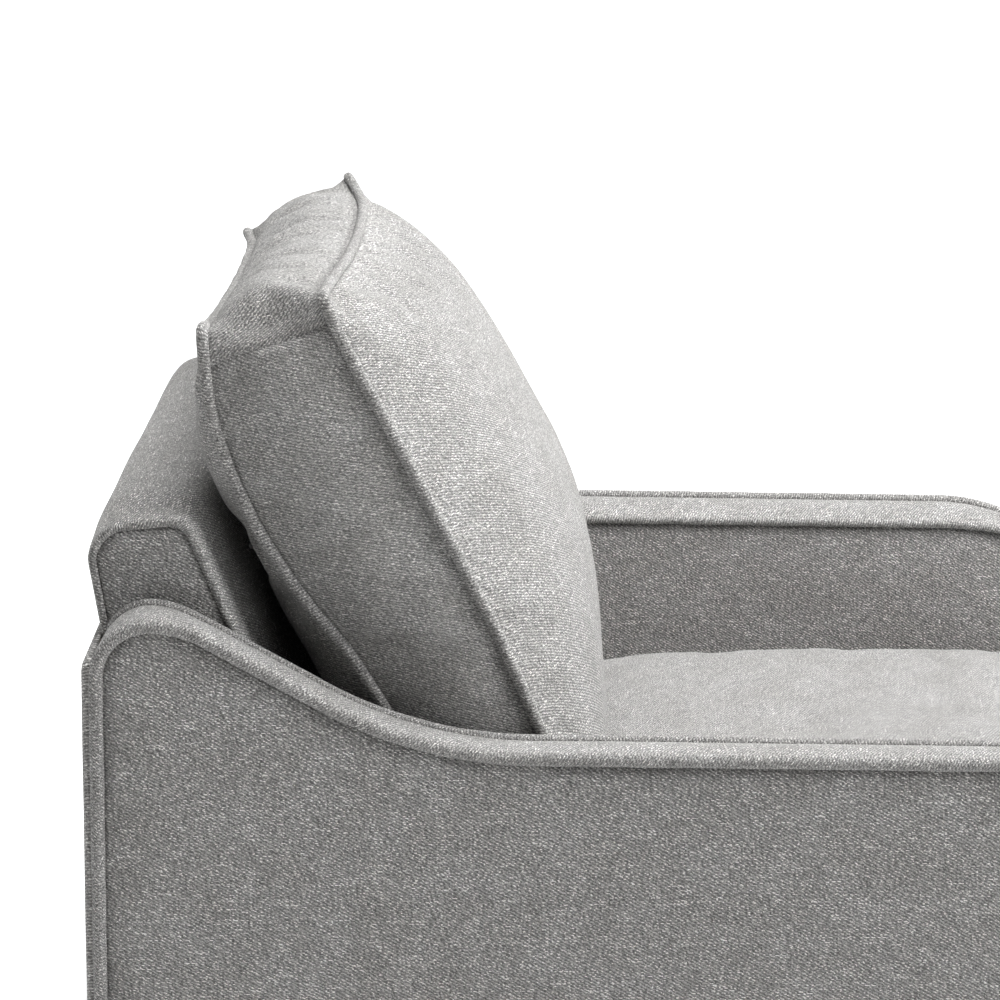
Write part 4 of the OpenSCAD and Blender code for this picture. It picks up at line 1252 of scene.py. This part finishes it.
def seam_path(local, rows, push, centre):
    pts = np.array([local[i] for i in rows])
    out = pts[:, [0, 2]] - np.array(centre)
    out[:, 0] /= 287.0
    out[:, 1] /= 265.0
    # outward in the plane of the face: along x at the sides, along z at top and bottom, both at the corners
    k = np.abs(out) ** 14
    k /= k.sum(1)[:, None] + 1e-12
    w = np.sign(out) * k
    w /= np.maximum(np.linalg.norm(w, axis=1), 1e-9)[:, None]
    pts[:, 0] += w[:, 0] * push
    pts[:, 2] += w[:, 1] * push
    # smooth the path
    for _ in range(2):
        pts = 0.5 * pts + 0.25 * (np.roll(pts, 1, 0) + np.roll(pts, -1, 0))
    return pts


welts = []
for rows, push, sd in ((seam_a, 2.2, 31.0), (seam_b, 2.0, 41.0)):
    path = seam_path(local, rows, push, (0.0, 268.0))
    v, f, u = tube([cushion_point(*q) for q in path], 4.7, closed=True, side=(0, c25, -s25), wob=0.5, seed=sd)
    welts.append((v, f, u))
n0 = len(welts[0][0])
me = fix_normals(mesh("back_cushion_welt", welts[0][0] + welts[1][0],
                      welts[0][1] + [tuple(i + n0 for i in f) for f in welts[1][1]], welts[0][2] + welts[1][2]))
ob = new_object("back_cushion_welt", me, CLOTH_WELT, body="back_cushion")
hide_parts("back_cushion_welts")

# ---- seat cushion, in the deck's frame (x, y to the rear, z up)
SX, SD = 289.0, 602.0
seat_top_z = 111.5


def seat_pull(f):
    return 4.5 * math.sin(math.pi * min(1.0, max(0.0, f))) ** 0.8


def seat_edge(z, lift):
    return (
        lambda u: np.array([(2 * u - 1) * SX, 2.5 + seat_pull(u) * 0.6, z - lift * math.sin(math.pi * u)]),
        lambda u: np.array([(2 * u - 1) * SX, SD + 1.0, z]),
        lambda v: np.array([-SX + seat_pull(v), 2.5 + v * (SD - 1.5), z - lift * math.sin(math.pi * v)]),
        lambda v: np.array([SX - seat_pull(v), 2.5 + v * (SD - 1.5), z - lift * math.sin(math.pi * v)]),
    )


SEAT_A, SEAT_B = seat_edge(seat_top_z, 1.5), seat_edge(5.0, 0.0)


# the seat is fullest in front of the back cushion
SEAT_FULL = table([(0, 0), (60, 5), (140, 10), (220, 16), (300, 19), (370, 19), (420, 17), (455, 13), (478, 7), (496, 0), (602, 0)])


def seat_top(u, v):
    p = coons(*SEAT_A, u, v).copy()
    f = (max(0.0, 1 - abs(2 * u - 1) ** 6) * max(0.0, 1 - abs(2 * v - 1) ** 3.6)) ** 0.5
    p[2] += 23.0 * f + SEAT_FULL(v * 602.0) * max(0.0, 1 - abs(2 * u - 1) ** 8) ** 0.5
    return p


def seat_bottom(u, v):
    p = coons(*SEAT_B, u, v).copy()
    f = (max(0.0, 1 - abs(2 * u - 1) ** 6) * max(0.0, 1 - abs(2 * v - 1) ** 6)) ** 0.5
    p[2] -= 3.8 * f
    return p


def seat_bulge(u, v, t, edge):
    b = 5.0 * math.sin(math.pi * t) ** 0.7
    if edge == 0:
        return np.array([0, -b * 1.2, 0])
    if edge == 2:
        return np.array([0, b * 0.5, 0])
    return np.array([b if edge == 1 else -b, 0, 0])


def seat_uv_edge(u, v, t, edge, mid_v):
    w = (1 - t) * 108.0
    if edge == 0:
        return (u * 578.0, w)
    if edge == 2:
        return (-u * 578.0, w)
    return (-v * 602.0, w) if edge == 3 else (v * 602.0, w)


us = np.linspace(0, 1, 50)
vs = np.linspace(0, 1, 52)
ks = np.linspace(0, 1, 11)
me, seat_local, seat_a, seat_b = box_cushion(
    "seat_cushion", us, vs, ks, seat_top, seat_bottom, seat_bulge, deck_point,
    lambda u, v: (u * 590.0, v * 615.0), lambda u, v: (-u * 580.0, v * 604.0), seat_uv_edge, CLOTH)
add_rest(me, seat_local)
SEAT = (2.5, -450.0, 350.0)
start = get_co(me)
pins = sorted(set(seat_a) | set(seat_b))
end = inflate(me, pins, 2.4, 18, -0.015, bend=0.6)
move = end - start
size = np.linalg.norm(move, axis=1)
cap = 0.008
k = np.where(size > 1e-9, cap * np.tanh(size / cap) / np.maximum(size, 1e-9), 0)
set_co(me, start + move * k[:, None])
me = subdivided(me, 1)
p = to_local(get_co(me), *SEAT)
rest = get_rest(me)
nr = normals(me)
c2, s2 = math.cos(rad(2.5)), math.sin(rad(2.5))
nl = np.stack([nr[:, 0], nr[:, 1] * c2 - nr[:, 2] * s2, nr[:, 1] * s2 + nr[:, 2] * c2], 1)
add = np.zeros(len(p))
for i in range(len(p)):
    x, y, z = rest[i]
    if z > 113:
        e = min(289 - abs(x), y, 602 - y)
        s = y if 289 - abs(x) < min(y, 602 - y) else x
        add[i] += 0.5 * math.exp(-max(e, 0) / 16.0) * math.sin(s / 7.0 + 3.0 * noise.noise(Vector((s / 40.0, 3.0, 8.0))))
        add[i] += 1.5 * noise.noise(Vector((x / 95.0, y / 80.0, 6.0))) + 0.4 * noise.noise(Vector((x / 30.0, y / 34.0, 9.0)))
    elif 8 < z < 108:
        add[i] += 0.5 * noise.noise(Vector((x / 50.0, y / 50.0, z / 40.0)))
p = p + nl * add[:, None]
p[:, 0] = np.clip(p[:, 0], -296.0, 296.0)
p[:, 2] = np.maximum(p[:, 2], 0.4)
p[:, 1] = np.minimum(p[:, 1], 605.1)
set_co(me, to_world(p, *SEAT))
me.attributes.remove(me.attributes["rest"])
ob = new_object("seat_cushion_cover", me, CLOTH_SEAT, body="seat_cushion")
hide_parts("seat_cushion_core", "seat_cushion_panels", "seat_cushion_boxing")

welts = []
for rows, r, push, dz, sd in ((seat_a, 4.7, 2.0, 1.2, 51.0), (seat_b, 3.0, 0.5, 0.0, 61.0)):
    pts = np.array([seat_local[i] for i in rows])
    out = np.stack([pts[:, 0] / 289.0, (pts[:, 1] - 302.0) / 300.0], 1)
    k = np.abs(out) ** 14
    k /= k.sum(1)[:, None] + 1e-12
    w = np.sign(out) * k
    w /= np.maximum(np.linalg.norm(w, axis=1), 1e-9)[:, None]
    pts[:, 0] += w[:, 0] * push
    pts[:, 1] += w[:, 1] * push
    pts[:, 2] += dz if r > 4 else -1.6
    for _ in range(1):
        pts = 0.5 * pts + 0.25 * (np.roll(pts, 1, 0) + np.roll(pts, -1, 0))
    v, f, u = tube([deck_point(*q) for q in pts], r, closed=True, side=(0, s2, c2), wob=0.4, seed=sd)
    welts.append((v, f, u))
n0 = len(welts[0][0])
me = fix_normals(mesh("seat_cushion_welt", welts[0][0] + welts[1][0],
                      welts[0][1] + [tuple(i + n0 for i in f) for f in welts[1][1]], welts[0][2] + welts[1][2]))
ob = new_object("seat_cushion_welt", me, CLOTH_WELT, body="seat_cushion")
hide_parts("seat_cushion_welts")


# ------------------------------------------------------------------ materials on the CAD nodes that stay
slot_of = {}
for m in frame["record"].get("materials", []):
    for key in ("nodes", "parts", "applies_to"):
        for n in m.get(key, []) or []:
            slot_of[n] = m["slot"]


def slot_for(n):
    if n in slot_of:
        return slot_of[n]
    if n.startswith("arm_panel"):
        return "plywood"
    if "blocks" in n or n in ("seat_front_rail", "seat_rear_rails", "seat_side_rails", "back_side_panels", "back_rails"):
        return "frame_wood"
    if n == "legs":
        return "leg_wood"
    if n in ("leg_plates", "leg_hardware", "spring_clips", "sinuous_springs", "spring_tie_wires") or "slider" in n or "pull" in n:
        return "steel"
    if n == "leg_glides":
        return "glide_nylon"
    if n in ("dust_cover", "deck_cloth", "back_webbing", "spring_insulator"):
        return "lining_black"
    if "chain" in n:
        return "zip_black"
    if "foam" in n or n == "seat_cushion_core":
        return "foam"
    if "padding" in n or n == "back_cushion_fill":
        return "wadding"
    if n == "outside_back_board":
        return "board"
    return "grey_cloth"


for n, o in NODES.items():
    o.data.materials.clear()
    # sliders and pulls get the near-black painted-shade material, not steel
    zip_metal = "slider" in n or "pull" in n
    o.data.materials.append(ZIP_METAL_SHADE if zip_metal else MATERIAL[slot_for(n)])


# ------------------------------------------------------------------ floor, light
me = bpy.data.meshes.new("floor")
me.from_pydata([(-30, -30, 0), (30, -30, 0), (30, 30, 0), (-30, 30, 0)], [], [(0, 1, 2, 3)])
floor = bpy.data.objects.new("floor", me)
SCENE.collection.objects.link(floor)
t = Tree("pale_floor")
n = t.noise(t.object_co(), 1.5, 3.0)
t.colour(t.mix(n, rgb(0.47, 0.47, 0.47), rgb(0.49, 0.49, 0.49)))
t.set(Roughness=0.8, Specular_IOR_Level=0.1)
# painted light: the floor glows (emission) and runs out to white away from the chair, glowing less near it and less
# towards -x, that side as painted shade
d = t.split(t.object_co())
far = t.m("SQRT", t.m("ADD", t.m("MULTIPLY", d[0], d[0]), t.m("MULTIPLY", d[1], d[1])))
t.bsdf.inputs["Emission Color"].default_value = rgb(1, 1, 1)
# painted shade: the floor's glow halves towards -x, as under a flag
flag = t.ramp(d[0], -3.2, 0.2, 0.50, 1.0)
t.put(t.bsdf.inputs["Emission Strength"], t.m("MULTIPLY", t.ramp(far, 0.42, 1.15, 0.10, 1.0), flag))
me.materials.append(t.mat)
floor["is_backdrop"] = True

world = bpy.data.worlds.new("studio")
SCENE.world = world
world.use_nodes = True
wt = world.node_tree
wt.nodes.clear()
wo = wt.nodes.new("ShaderNodeOutputWorld")
bg = wt.nodes.new("ShaderNodeBackground")
geo = wt.nodes.new("ShaderNodeTexCoord")
sep = wt.nodes.new("ShaderNodeSeparateXYZ")
mr = wt.nodes.new("ShaderNodeMapRange")
mr.inputs[1].default_value = -0.1
mr.inputs[2].default_value = 1.0
mr.inputs[3].default_value = 0.36
mr.inputs[4].default_value = 0.90
wt.links.new(geo.outputs["Generated"], sep.inputs[0])
wt.links.new(sep.outputs[2], mr.inputs[0])
# a flag on the right-hand side of the chair keeps that side down
mx = wt.nodes.new("ShaderNodeMapRange")
mx.inputs[1].default_value = -0.85
mx.inputs[2].default_value = 0.15
mx.inputs[3].default_value = 0.08
mx.inputs[4].default_value = 1.0
both = wt.nodes.new("ShaderNodeMath")
both.operation = "MULTIPLY"
wt.links.new(sep.outputs[0], mx.inputs[0])
wt.links.new(mr.outputs[0], both.inputs[0])
wt.links.new(mx.outputs[0], both.inputs[1])
wt.links.new(both.outputs[0], bg.inputs["Strength"])
bg.inputs["Color"].default_value = rgb(1, 1, 1)
wt.links.new(bg.outputs[0], wo.inputs[0])


def softbox(name, where, aim, sx, sy, watts, colour=(1, 1, 1)):
    d = bpy.data.lights.new(name, "AREA")
    d.shape = "RECTANGLE"
    d.size, d.size_y = sx, sy
    d.energy = watts
    d.color = colour
    o = bpy.data.objects.new(name, d)
    SCENE.collection.objects.link(o)
    o.location = where
    o.rotation_euler = (Vector(aim) - Vector(where)).to_track_quat("-Z", "Y").to_euler()
    return o


softbox("key_front", (-0.55, -3.0, 2.3), (0.0, 0.0, 0.6), 1.7, 1.5, 122.0)
softbox("overhead", (0.35, -0.45, 3.2), (0.05, 0.0, 0.6), 2.2, 2.2, 106.0)

# ------------------------------------------------------------------ size and finish
SCENE.frame_set(1)
low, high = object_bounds()
